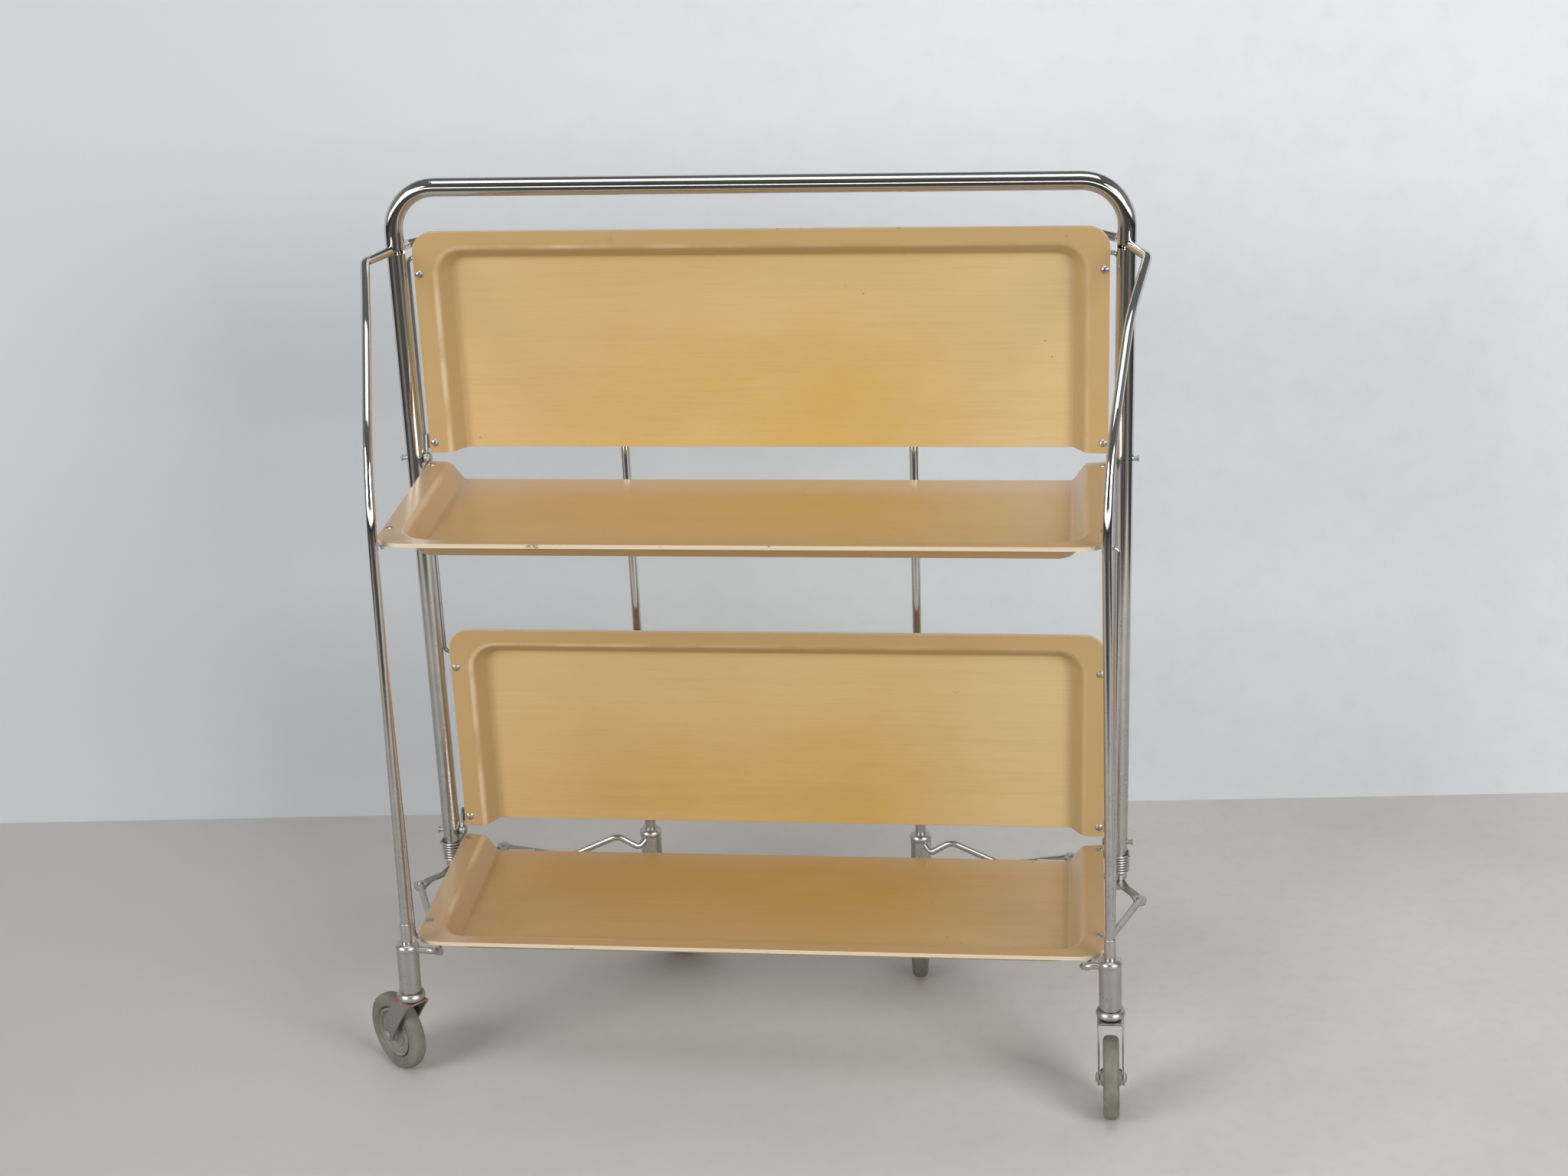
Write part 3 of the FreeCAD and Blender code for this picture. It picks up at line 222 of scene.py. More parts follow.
def bump(tree, bsdf, height, distance, strength):
    n = tree.nodes.new("ShaderNodeBump")
    n.inputs["Strength"].default_value = strength
    n.inputs["Distance"].default_value = distance
    put(tree, n.inputs["Height"], height)
    tree.links.new(n.outputs[0], bsdf.inputs["Normal"])


def rgb(color, level=1.0):
    return (*[c * level for c in color], 1.0)


# plated steel: mirror chrome above, dull and pitted towards the floor
# wear gives the heights between which bright turns dull, rough is for the bright and for the dull plating
steelLooks = {
    "mirrorChrome": {"bright": (0.64, 0.63, 0.61), "dull": (0.50, 0.49, 0.47),
                     "rough": (0.04, 0.24), "wear": (0.52, 0.18), "pits": 0.8},
    "dullChrome": {"bright": (0.62, 0.61, 0.59), "dull": (0.46, 0.45, 0.43),
                   "rough": (0.20, 0.34), "wear": (0.30, 0.05), "pits": 1.0},
    "pinSteel": {"bright": (0.58, 0.57, 0.55), "dull": (0.46, 0.45, 0.43),
                 "rough": (0.22, 0.34), "wear": (0.60, 0.10), "pits": 0.7},
    "bracketSteel": {"bright": (0.55, 0.54, 0.52), "dull": (0.38, 0.37, 0.35),
                     "rough": (0.26, 0.38), "wear": (0.60, 0.10), "pits": 1.0, "rust": 0.08},
    "springSteel": {"bright": (0.62, 0.61, 0.59), "dull": (0.56, 0.55, 0.53),
                    "rough": (0.22, 0.30), "wear": (0.40, 0.10), "pits": 1.0, "rust": 0.05},
    "armSteel": {"bright": (0.40, 0.385, 0.36), "dull": (0.33, 0.315, 0.29),
                 "rough": (0.30, 0.40), "wear": (0.40, 0.10), "pits": 1.2, "rust": 0.10},
    "forkSteel": {"bright": (0.52, 0.50, 0.48), "dull": (0.42, 0.41, 0.39),
                  "rough": (0.26, 0.36), "wear": (0.11, 0.03), "pits": 1.0, "rust": 0.16},
    "rustySteel": {"bright": (0.40, 0.38, 0.35), "dull": (0.33, 0.32, 0.29),
                   "rough": (0.42, 0.48), "wear": (0.11, 0.03), "pits": 1.0, "rust": 0.72, "rustFrom": 0.078},
}
platingLook = {
    "cloudScale": 38, "fineScale": 900, "fineShare": 0.16, "fineLevel": 0.55,
    "pitScale": 420, "pitSize": 0.30, "pitPatches": 60, "pitShare": 0.7, "pitColor": (0.17, 0.14, 0.11),
    "rustScale": 85, "rustShare": 0.85, "rustFade": 0.012, "rustColor": (0.16, 0.055, 0.025),
    "depth": 0.00012, "relief": 0.35,
}


def platedSteel(name, bright, dull, rough, wear, pits, rust=0.0, rustFrom=None):
    mat, tree, bsdf = newMaterial(name)
    p = platingLook
    at = place(tree)
    height = parts(tree, at)[2]
    low = span(tree, height, *wear)
    cloud = noise(tree, at, p["cloudScale"], 4, 0.6)
    fine = noise(tree, at, p["fineScale"], 2, 0.6)
    worn = times(tree, low, span(tree, cloud, 0.3, 0.65, 0.55, 1.0), True)
    patches = span(tree, noise(tree, at, p["pitPatches"], 3), 0.42, 0.62)
    pit = times(tree, specks(tree, at, p["pitScale"], p["pitSize"]), patches)
    pit = times(tree, pit, times(tree, span(tree, low, 0, 1, 0.12, 1.0), pits), True)
    color = blendColors(tree, worn, rgb(bright), rgb(dull))
    scratches = span(tree, fine, 0.35, 0.75, 0, p["fineShare"])
    color = blendColors(tree, scratches, color, rgb(dull, p["fineLevel"]))
    color = blendColors(tree, times(tree, pit, p["pitShare"]), color, rgb(p["pitColor"]))
    if rust:
        stain = span(tree, noise(tree, at, p["rustScale"], 5, 0.65), 0.68 - rust * 0.4, 0.82 - rust * 0.4)
        if rustFrom:
            stain = times(tree, stain, span(tree, height, rustFrom - p["rustFade"], rustFrom, 0.12, 1.0))
        color = blendColors(tree, times(tree, stain, p["rustShare"]), color, rgb(p["rustColor"]))
        tree.links.new(minus(tree, 1.0, stain, True), bsdf.inputs["Metallic"])
    else:
        bsdf.inputs["Metallic"].default_value = 1.0
    tree.links.new(color, bsdf.inputs["Base Color"])
    gloss = span(tree, worn, 0, 1, *rough, False)
    gloss = plus(tree, gloss, times(tree, cloud, 0.07))
    gloss = plus(tree, gloss, times(tree, pit, 0.3), True)
    tree.links.new(gloss, bsdf.inputs["Roughness"])
    bump(tree, bsdf, minus(tree, times(tree, fine, 0.25), pit), p["depth"], p["relief"])
    return mat


steel = {name: platedSteel(name, **look) for name, look in steelLooks.items()}
print("steel finishes ready")

# moulded plywood leaves: the rim is told by the distance from the flat of the floor
leafSizes = {
    "halfFlat": 0.2530,       # middle of the leaf to a corner axis of the floor
    "reachFlat": 0.1636,      # hinge axis to a corner axis of the floor
    "floorEnd": 0.0100, "slopeStart": 0.0133, "slopeEnd": 0.0211, "lipStart": 0.0264,
    "halfOutline": 0.2770,    # middle of the leaf to the centre of a rounded corner
    "reachOutline": 0.1840, "outlineRadius": 0.0180,
    "innerEdge": 0.004,       # hinge axis to the straight back edge
    "ply": 0.0012,
}
veneerLook = {
    "cloudScale": 5.5, "cloudStretch": (1.0, 1.6, 1.0), "cloudDrift": 1.1,
    "amberSide": 0.02, "amberFade": (3.3, 7.8, 0),
    "grain": (9.0, 420.0, 420.0), "pores": (38.0, 1500.0, 1500.0), "figure": (3.0, 34.0, 34.0),
    "creaseHighlightScale": 22, "smudgeScale": 16, "dotScale": 52, "dotSize": 0.055, "dotPatches": 9, "chipScale": 70,
    "paleShare": 0.30, "pinkShare": 0.42, "paintedGlareShare": 0.75, "grainShare": 0.20, "grainLevel": 0.74,
    "poreShare": 0.16, "rimAndShadeShare": 0.75, "smudgeShare": 0.30, "dotShare": 0.7, "backEdgeShare": 0.8,
    "coatRough": 0.16, "depth": 0.00018, "relief": 0.30,
    "poreColor": (0.30, 0.18, 0.08), "creaseHighlightColor": (0.72, 0.57, 0.40), "smudgeColor": (0.26, 0.15, 0.08),
    "dotColor": (0.20, 0.11, 0.05), "glueColor": (0.52, 0.39, 0.24), "plyColor": (0.74, 0.65, 0.49),
    "chipColor": (0.27, 0.16, 0.09), "backEdgeColor": (0.36, 0.23, 0.13),
}


def leafMatrix(hinge, folded):
    # rows take a point to leaf coordinates: along the hinge, minus the reach from it, towards the hollow
    rows = [acrossDir, backDir, upDir]
    if folded:
        rows = [-acrossDir, -upDir, -backDir]
    turn = Matrix([list(r) for r in rows])
    return turn, -(turn @ hinge)


def leafFinish(name, hinge, folded, seed, sheen, tone):
    mat, tree, bsdf = newMaterial(name)
    s, v = leafSizes, veneerLook
    turn, shift = leafMatrix(hinge, folded)
    local = mapping(tree, place(tree), Rotation=turn.to_euler("XYZ"), Location=shift)
    x, minusReach, w = parts(tree, local)
    reach = times(tree, minusReach, -1.0)
    halfLeaf = calc(tree, "ABSOLUTE", x)
    toRight = times(tree, x, tone["side"])
    at = mapping(tree, local, Location=(seed * 1.7, seed * 0.9, seed * 2.3))
    d = longSide(tree, beyond(tree, halfLeaf, s["halfFlat"]), beyond(tree, reach, s["reachFlat"]))

    # veneer: cloudy honey tone, amber in the middle, pinker to the left; the paler, cooler tone to the right
    # is a painted glare reflection
    cloud = noise(tree, at, v["cloudScale"], 6, 0.62, v["cloudStretch"])
    ring = tree.nodes.new("ShaderNodeVectorMath")
    ring.operation = "LENGTH"
    put(tree, ring.inputs[0], mapping(tree, local, Scale=v["amberFade"],
                                      Location=(-v["amberSide"] * tone["side"], tone["amberReach"], 0)))
    drift = times(tree, minus(tree, cloud, 0.5), v["cloudDrift"])
    amber = span(tree, plus(tree, ring.outputs["Value"], drift), 1.15, 0.15, 0, tone["amberShare"])
    color = blendColors(tree, amber, rgb(tone["base"]), rgb(tone["amber"]))
    color = blendColors(tree, span(tree, cloud, 0.35, 0.7, 0, v["paleShare"]), color, rgb(tone["pale"]))
    color = blendColors(tree, span(tree, toRight, 0.30, -0.30, 0, v["pinkShare"]), color, rgb(tone["pink"]))
    # painted glare: a paler, cooler tint over the right-hand part of each leaf stands in for a reflection
    color = blendColors(tree, span(tree, toRight, 0.06, 0.27, 0, v["paintedGlareShare"]), color, rgb(tone["paintedGlare"]))

    # fine grain along the leaf
    grain = noise(tree, at, 1.0, 5, 0.62, v["grain"])
    pores = noise(tree, at, 1.0, 2, 0.5, v["pores"])
    figure = noise(tree, at, 1.0, 3, 0.5, v["figure"])
    shade = plus(tree, times(tree, grain, 0.6), times(tree, figure, 0.4))
    color = blendColors(tree, span(tree, shade, 0.36, 0.66, 0, v["grainShare"]), color,
                        rgb(tone["base"], v["grainLevel"]))
    color = blendColors(tree, span(tree, pores, 0.60, 0.74, 0, v["poreShare"]), color, rgb(v["poreColor"]))

    # fold: painted shade, brown in the hollow and on the slope; a painted highlight, a pale line on the
    # crown; the lip browner, partly its own tone and partly painted shade
    foot, slopeEnd, crown = s["floorEnd"], s["slopeEnd"], s["lipStart"]
    bend = times(tree, span(tree, d, foot - 0.007, s["slopeStart"] + 0.002),
                 span(tree, d, crown + 0.002, slopeEnd - 0.002))
    # painted shade: the fold colour darkens the hollow and the slope of the bend
    color = blendColors(tree, times(tree, bend, tone["foldShadeShare"]), color, rgb(tone["fold"]))
    # the lip's tone: its own browner colour, partly painted shade that darkens it
    color = blendColors(tree, span(tree, d, slopeEnd, crown, 0, v["rimAndShadeShare"]), color, rgb(tone["rim"]))
    # painted highlight: a pale line along the crown of the bend, strongest towards the left ends
    creaseHighlight = times(tree, span(tree, d, slopeEnd - 0.0006, crown - 0.0028),
                   span(tree, d, crown + 0.0010, crown - 0.0020))
    creaseHighlight = times(tree, creaseHighlight, span(tree, noise(tree, at, v["creaseHighlightScale"], 3), 0.35, 0.6, 0.1, 0.6))
    creaseHighlight = times(tree, creaseHighlight, span(tree, toRight, 0.1, -0.2, 0.25, 1.0))
    color = blendColors(tree, creaseHighlight, color, rgb(v["creaseHighlightColor"]))

    # knocks and stains
    smudge = times(tree, span(tree, noise(tree, at, v["smudgeScale"], 5, 0.7), 0.66, 0.78),
                   span(tree, d, 0.0, 0.016, 0.25, 0.8))
    color = blendColors(tree, times(tree, smudge, v["smudgeShare"]), color, rgb(v["smudgeColor"]))
    dots = times(tree, specks(tree, at, v["dotScale"], v["dotSize"]),
                 span(tree, noise(tree, at, v["dotPatches"], 2), 0.56, 0.60))
    color = blendColors(tree, times(tree, dots, v["dotShare"]), color, rgb(v["dotColor"]))

    # cut edges: pale plies with darker glue lines, and chips
    out = longSide(tree, beyond(tree, halfLeaf, s["halfOutline"]), beyond(tree, reach, s["reachOutline"]))
    lip = span(tree, out, s["outlineRadius"] - 0.00022, s["outlineRadius"] - 0.00012)
    backEdge = span(tree, reach, s["innerEdge"] + 0.00022, s["innerEdge"] + 0.00008)
    ply = calc(tree, "SINE", times(tree, w, 2 * np.pi / s["ply"]))
    edgeTone = blendColors(tree, span(tree, ply, -0.6, 0.2), rgb(v["glueColor"]), rgb(v["plyColor"]))
    chips = span(tree, noise(tree, at, v["chipScale"], 5, 0.7), 0.62, 0.69)
    edgeTone = blendColors(tree, chips, edgeTone, rgb(v["chipColor"]))
    color = blendColors(tree, lip, color, edgeTone)
    color = blendColors(tree, times(tree, backEdge, v["backEdgeShare"]), color, rgb(v["backEdgeColor"]))
    tree.links.new(color, bsdf.inputs["Base Color"])

    rough = plus(tree, times(tree, cloud, 0.14), sheen)
    rough = plus(tree, rough, times(tree, calc(tree, "MAXIMUM", lip, smudge), 0.25), True)
    tree.links.new(rough, bsdf.inputs["Roughness"])
    bsdf.inputs["Coat Weight"].default_value = tone["coat"]
    bsdf.inputs["Coat Roughness"].default_value = v["coatRough"]
    dent = plus(tree, times(tree, grain, 0.35), times(tree, cloud, 1.5))
    bump(tree, bsdf, minus(tree, dent, times(tree, chips, lip)), v["depth"], v["relief"])
    return mat


# side is -1 where the leaf's own right lies to the left, amberReach is where the amber patch sits
# in the tones, the fold colour is painted shade, the rim colour is the lip's own browner tone darkened by
# painted shade, and the cool colour to the right is a painted glare reflection
rearTone = {
    "base": (0.56, 0.39, 0.165), "amber": (0.54, 0.335, 0.072), "pale": (0.64, 0.48, 0.24),
    "pink": (0.55, 0.37, 0.20), "paintedGlare": (0.59, 0.44, 0.235), "fold": (0.34, 0.21, 0.09),
    "rim": (0.42, 0.27, 0.115), "foldShadeShare": 0.42, "side": -1,
    "amberReach": 0.075, "amberShare": 0.85, "coat": 0.12,
}
frontTone = {
    "base": (0.51, 0.32, 0.125), "amber": (0.50, 0.28, 0.042), "pale": (0.56, 0.385, 0.18),
    "pink": (0.47, 0.305, 0.165), "paintedGlare": (0.55, 0.405, 0.24), "fold": (0.34, 0.20, 0.095),
    "rim": (0.44, 0.285, 0.145), "foldShadeShare": 0.30, "side": 1,
    "amberReach": 0.09, "amberShare": 0.85, "coat": 0.45,
}
leafLooks = {
    "rear_upper_leaf": leafFinish("rearUpperVeneer", hingeUpper, True, 3.1, 0.30, rearTone),
    "rear_lower_leaf": leafFinish("rearLowerVeneer", hingeLower, True, 7.4, 0.30,
                                  dict(rearTone, amberReach=0.085)),
    "front_upper_leaf": leafFinish("frontUpperVeneer", hingeUpper, False, 12.6, 0.24, frontTone),
    "front_lower_leaf": leafFinish("frontLowerVeneer", hingeLower, False, 19.2, 0.26,
                                   dict(frontTone, amberShare=0.95)),
}
print("leaf veneers ready")

# grey rubber of the tyres and grey plastic of the hubs, scale is how small the clouds are
rubberLooks = {
    "greyTyreRubber": {"base": (0.20, 0.185, 0.15), "dark": (0.135, 0.125, 0.10), "scale": 45},
    "greyHubPlastic": {"base": (0.27, 0.26, 0.225), "dark": (0.17, 0.16, 0.135), "scale": 60},
}


def rubberFinish(name, base, dark, scale):
    mat, tree, bsdf = newMaterial(name)
    at = place(tree)
    cloud = noise(tree, at, scale, 5, 0.6)
    scuff = noise(tree, at, scale * 9, 4, 0.7)
    color = blendColors(tree, span(tree, cloud, 0.32, 0.70), rgb(base), rgb(dark))
    color = blendColors(tree, span(tree, scuff, 0.58, 0.74, 0, 0.5), color, rgb(dark, 0.45))
    tree.links.new(color, bsdf.inputs["Base Color"])
    tree.links.new(span(tree, scuff, 0.3, 0.7, 0.48, 0.68, False), bsdf.inputs["Roughness"])
    bump(tree, bsdf, scuff, 0.00025, 0.35)
    return mat


tyreRubber, hubPlastic = [rubberFinish(name, **look) for name, look in rubberLooks.items()]

# CAD nodes keep their shapes and get the first finish whose words are in their name
nodeFinishes = [
    (("front_left_fork",), steel["rustySteel"]), (("bracket",), steel["bracketSteel"]),
    (("springs",), steel["springSteel"]), (("_tyre",), tyreRubber), (("_hub",), hubPlastic),
    (("lower_arm",), steel["armSteel"]), (("_fork",), steel["forkSteel"]),
    (("_axle", "rivet", "pin", "spacer"), steel["pinSteel"]),
    (("handle_tube", "leg_rod", "link_rods"), steel["mirrorChrome"]), (("",), steel["dullChrome"]),
]
for nodeName, obj in frame["nodes"].items():
    plain = next(m for words, m in nodeFinishes if any(w in nodeName for w in words))
    obj.data.materials.clear()
    obj.data.materials.append(leafLooks.get(nodeName, plain))
print("node finishes set")

# coil springs round the feet of the uprights
springLook = {
    "turns": 7, "wire": 0.00205, "coil": 0.00935, "pitch": 0.0026, "top": -0.0095,
    "firstTail": 0.9, "lastTail": 1.1, "tail": 0.010,    # angles past the coil, tail length per radian
    "halfSpan": 0.3085,    # middle of the trolley to an upright
    "steps": 40, "sides": 12,
}


def springPiece(name, foot, side):
    # centre line: coil * (across cos a + back sin a) + up * (top - pitch * a / full turn)
    # straight tails go on beyond both ends
    s = springLook
    full = 2 * np.pi * s["turns"]
    a = np.linspace(-s["firstTail"], full + s["lastTail"], s["turns"] * s["steps"])
    c = np.clip(a, 0, full)
    extra = (a - c) * s["tail"]
    across, back, up = np.array(acrossDir) * side, np.array(backDir), np.array(upDir)
    out = np.cos(c)[:, None] * across + np.sin(c)[:, None] * back
    on = -np.sin(c)[:, None] * across + np.cos(c)[:, None] * back
    rise = s["top"] - s["pitch"] * c / (2 * np.pi)
    mid = np.array(foot) + s["coil"] * out + rise[:, None] * up + extra[:, None] * on
    b = np.linspace(0, 2 * np.pi, s["sides"], endpoint=False)[None, :, None]
    pts = mid[:, None] + s["wire"] / 2 * (np.cos(b) * out[:, None] + np.sin(b) * up)
    if side > 0:
        pts = pts[:, ::-1]    # keeps the faces outwards on the right-hand coil
    mesh = gridMesh(name, pts, closeCols=True, caps=True)
    obj = addObject(name, mesh, steel["springSteel"], "frame")
    smooth(obj, 60)
    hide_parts("leg_springs")


for side, sideName in ((1, "right"), (-1, "left")):
    springPiece("coil_spring_" + sideName, hingeLower + acrossDir * springLook["halfSpan"] * side, side)
print("springs wound")

# ferrules, sleeves and collar rings, turned about each leg
ferruleLook = {
    "bore": 0.0042, "ring": 0.0125, "ringHeight": 0.0075, "ferrule": 0.0095, "length": 0.0475,
    "bead": 0.0102, "sleeve": 0.0049, "sleeveLength": 0.019,
    "droopLeft": 0.00073,    # the left rear caster hangs this much lower in its ferrule
    "ringRound": (0.0022, 7), "ferruleRound": (0.0011, 5), "sleeveRound": (0.0006, 4),    # radius, steps
    "segments": 72,
}


def turnedLeg(name, origin, axis, body, nodes):
    f = ferruleLook
    bore, wide, wall, bead, sleeveWall = f["bore"], f["ring"], f["ferrule"], f["bead"], f["sleeve"]
    h0, h1 = f["ringHeight"], f["ringHeight"] + f["length"]
    h2 = h1 + f["sleeveLength"]
    ring = roundedProfile([(bore, 0.0003), (0.0092, 0.0003), (wide - 0.0006, 0.0009), (wide, 0.0034),
                           (wide - 0.0010, 0.0060), (0.0102, h0 - 0.0002), (bore, h0 - 0.0002)],
                          *f["ringRound"])
    ferrule = roundedProfile([(bore, h0), (wall - 0.0004, h0), (wall, h0 + 0.0014), (wall, h1 - 0.0066),
                              (bead, h1 - 0.0054), (bead, h1 - 0.0032), (wall - 0.0004, h1 - 0.0012),
                              (0.0072, h1), (bore - 0.0001, h1)], *f["ferruleRound"])
    sleeve = roundedProfile([(bore - 0.00015, h1 - 0.0004), (sleeveWall, h1 - 0.0004), (sleeveWall, h2),
                             (bore - 0.00015, h2 + 0.0002)], *f["sleeveRound"])
    for tag, profile in (("collar", ring), ("ferrule", ferrule), ("sleeve", sleeve)):
        pts = turned(profile, origin, axis, backDir, f["segments"])
        mesh = gridMesh(name, pts, closeRows=True, closeCols=True)
        obj = addObject(name + "_" + tag, mesh, steel["dullChrome"], body)
        smooth(obj, 50)
        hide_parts(nodes[tag])


corners = ("front_left", "front_right", "rear_left", "rear_right")
for corner in corners:
    stemAt, stemUp = jointPlace(corner + "_swivel_turn")
    if corner == "rear_left":
        stemAt = stemAt + stemUp * ferruleLook["droopLeft"]
    if corner.startswith("front"):
        body = "frame"
        nodes = {"collar": "front_collar_rings", "ferrule": "front_ferrules", "sleeve": "front_leg_sleeves"}
    else:
        body = corner + "_leg"
        nodes = {"collar": corner + "_collar_ring", "ferrule": corner + "_ferrule",
                 "sleeve": corner + "_leg_sleeve"}
    turnedLeg(corner + "_foot", stemAt, stemUp, body, nodes)
print("ferrules turned")

# casters: bent strap fork on a stem, moulded wheel
casterLook = {
    "trail": 0.0255, "drop": 0.0443, "cheek": 0.0104, "sheet": 0.0018, "crownTop": -0.0004, "bend": 0.0026,
    "crownBack": 0.012, "crownAhead": 0.013, "taperBack": 0.9, "taperAhead": 1.15,
    "eye": 0.0068, "edge": 0.00035, "stem": 0.0039, "stemTop": 0.0325,
    "cheekSteps": 40, "bendSteps": 7, "crownSteps": 6, "widthSteps": 13, "stemSegments": 24,
}
wheelLook = {
    "radius": 0.035, "tyreHalf": 0.00675, "hub": 0.0225, "power": 2.9,
    "sectionSteps": 56, "tyreSegments": 120, "hubSegments": 96, "hubRound": (0.0008, 4),
    "lineAt": 0.0268, "lineWidth": 0.0006, "lineDepth": 0.0005,    # shallow moulded line on the tyre walls
    # hub face from the axle outwards: radius, half thickness
    "face": [(0.00275, 0.0090), (0.0062, 0.0090), (0.0072, 0.0078), (0.0078, 0.0046), (0.0108, 0.0036),
             (0.0120, 0.0047), (0.0132, 0.0047), (0.0142, 0.0034), (0.0182, 0.0030), (0.0194, 0.0048),
             (0.0202, 0.0058), (0.02235, 0.0058)],
}


def casterFrame(corner):
    stemAt, up = [np.array(v) for v in jointPlace(corner + "_swivel_turn")]
    axleAt, across = [np.array(v) for v in jointPlace(corner + "_wheel_spin")]
    return stemAt, np.cross(across, up), across, up, axleAt


def strapFork(corner, mat):
    # a strap of constant thickness: path over the crown and down both cheeks, edges given by x along the path
    c = casterLook
    stemAt, ahead, across, up, axleAt = casterFrame(corner)
    y, top, b = c["cheek"], c["crownTop"] - c["sheet"] / 2, c["bend"]
    low, many, few = -c["drop"] - c["eye"], c["cheekSteps"], c["crownSteps"]
    down = top - b - (top - b - low) * np.linspace(0, 1, many)
    turn = np.linspace(0, np.pi / 2, c["bendSteps"])[1:-1]
    # half of the path, from the foot of the right cheek up to the middle of the crown, then its mirror
    pathY = np.concatenate([np.full(many, y), y - b + b * np.cos(turn), np.linspace(y - b, 0, few)])
    pathZ = np.concatenate([down[::-1], top - b + b * np.sin(turn), np.full(few, top)])
    pathY = np.concatenate([pathY, -pathY[::-1][1:]])
    pathZ = np.concatenate([pathZ, pathZ[::-1][1:]])
    # edges taper from the crown down to the round eye about the axle
    f = np.clip((pathZ - c["crownTop"]) / (-c["drop"] - c["crownTop"]), 0, 1)
    lift = np.sqrt(np.clip(c["eye"] ** 2 - np.clip(-c["drop"] - pathZ, 0, c["eye"]) ** 2, 1e-10, None))
    xLow = -c["crownBack"] + (c["trail"] - c["eye"] + c["crownBack"]) * f ** c["taperBack"]
    xHigh = c["crownAhead"] + (c["trail"] + c["eye"] - c["crownAhead"]) * f ** c["taperAhead"]
    below = pathZ < -c["drop"]
    xLow = np.where(below, c["trail"] - lift, xLow)
    xHigh = np.where(below, c["trail"] + lift, xHigh)
    share = np.linspace(0, 1, c["widthSteps"])[None, :]
    x = xLow[:, None] * (1 - share) + xHigh[:, None] * share
    pts = stemAt + x[..., None] * ahead + pathY[:, None, None] * across + pathZ[:, None, None] * up
    mesh = gridMesh(corner + "_strap", pts)
    strap = addObject(corner + "_fork_strap", mesh, mat, corner + "_swivel")
    wall = strap.modifiers.new("sheet", "SOLIDIFY")
    wall.thickness = c["sheet"]
    wall.offset = 0
    edge = strap.modifiers.new("edge", "BEVEL")
    edge.width = c["edge"]
    edge.segments = 2
    edge.angle_limit = np.radians(50)
    smooth(strap, 180)
    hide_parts(corner + "_fork")

    rows = [(0.0, c["stemTop"]), (c["stem"] - 0.0003, c["stemTop"]), (c["stem"], c["stemTop"] - 0.0010),
            (c["stem"], top - 0.0002)]
    pts = turned(np.array(rows), stemAt, up, ahead, c["stemSegments"])[::-1]
    mesh = gridMesh(corner + "_stem", pts, closeCols=True, caps=True)
    stem = addObject(corner + "_stem", mesh, mat, corner + "_swivel")
    smooth(stem, 40)
    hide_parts(corner + "_fork")


def wheelPieces(corner):
    c = wheelLook
    stemAt, ahead, across, up, axleAt = casterFrame(corner)
    # tyre section: a rounded square (cos and sin raised to 2 / power) about the middle of the rubber, closed
    a = np.linspace(0, 2 * np.pi, c["sectionSteps"], endpoint=False)
    rMid, rHalf = (c["radius"] + c["hub"]) / 2, (c["radius"] - c["hub"]) / 2
    square = lambda v: np.sign(v) * np.abs(v) ** (2 / c["power"])
    section = np.stack([rMid + rHalf * square(np.cos(a)), c["tyreHalf"] * square(np.sin(a))], -1)
    line = np.exp(-((section[:, 0] - c["lineAt"]) / c["lineWidth"]) ** 2) * c["lineDepth"]
    section[:, 1] -= np.sign(section[:, 1]) * line
    # hub section: the face, and the same face mirrored
    profile = roundedProfile(c["face"] + [(r, -h) for r, h in c["face"][::-1]], *c["hubRound"])
    for tag, pieceName, rows, mat, angle in (("tyre", "_tyre_shell", section, tyreRubber, 180),
                                             ("hub", "_hub_disc", profile, hubPlastic, 40)):
        pts = turned(rows, axleAt, across, up, c[tag + "Segments"])[::-1]
        mesh = gridMesh(corner + "_" + tag, pts, closeRows=True, closeCols=True)
        obj = addObject(corner + pieceName, mesh, mat, corner + "_wheel")
        smooth(obj, angle)
        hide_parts(corner + "_" + tag)


for corner in corners:
    strapFork(corner, steel["rustySteel" if corner == "front_left" else "forkSteel"])
    wheelPieces(corner)
print("casters made")

# floor, wall, light and camera
stageLook = {
    "wallNear": 0.50, "wallTurn": 5.8, "wallHalf": 1.9, "wallHeight": 1.15,
    "floorHalf": 6, "gridSteps": 12, "leftShadeLevel": 0.74,
    # where the pale ground ends in the metal's view of it
    "paleAhead": 0.70, "paleAside": 1.32, "darkGround": (0.05, 0.045, 0.04),
    # ground far off, as the viewer sees it
    "farFrom": 1.5, "farTo": 2.4, "farColor": (0.50, 0.485, 0.465),
}
# dark is how much darker the stained places are
groundLooks = {
    "concreteFloor": {"base": (0.66, 0.635, 0.61), "dark": 0.88, "scale": 1.6, "rough": 0.6, "fades": True},
    "paleWall": {"base": (0.68, 0.71, 0.75), "dark": 0.93, "scale": 0.9, "rough": 0.7, "fades": False},
}
wallTurn = np.radians(stageLook["wallTurn"])
wallAcross = np.array([np.cos(wallTurn), np.sin(wallTurn), 0])


def cameraRay(tree):
    return tree.nodes.new("ShaderNodeLightPath").outputs["Is Camera Ray"]


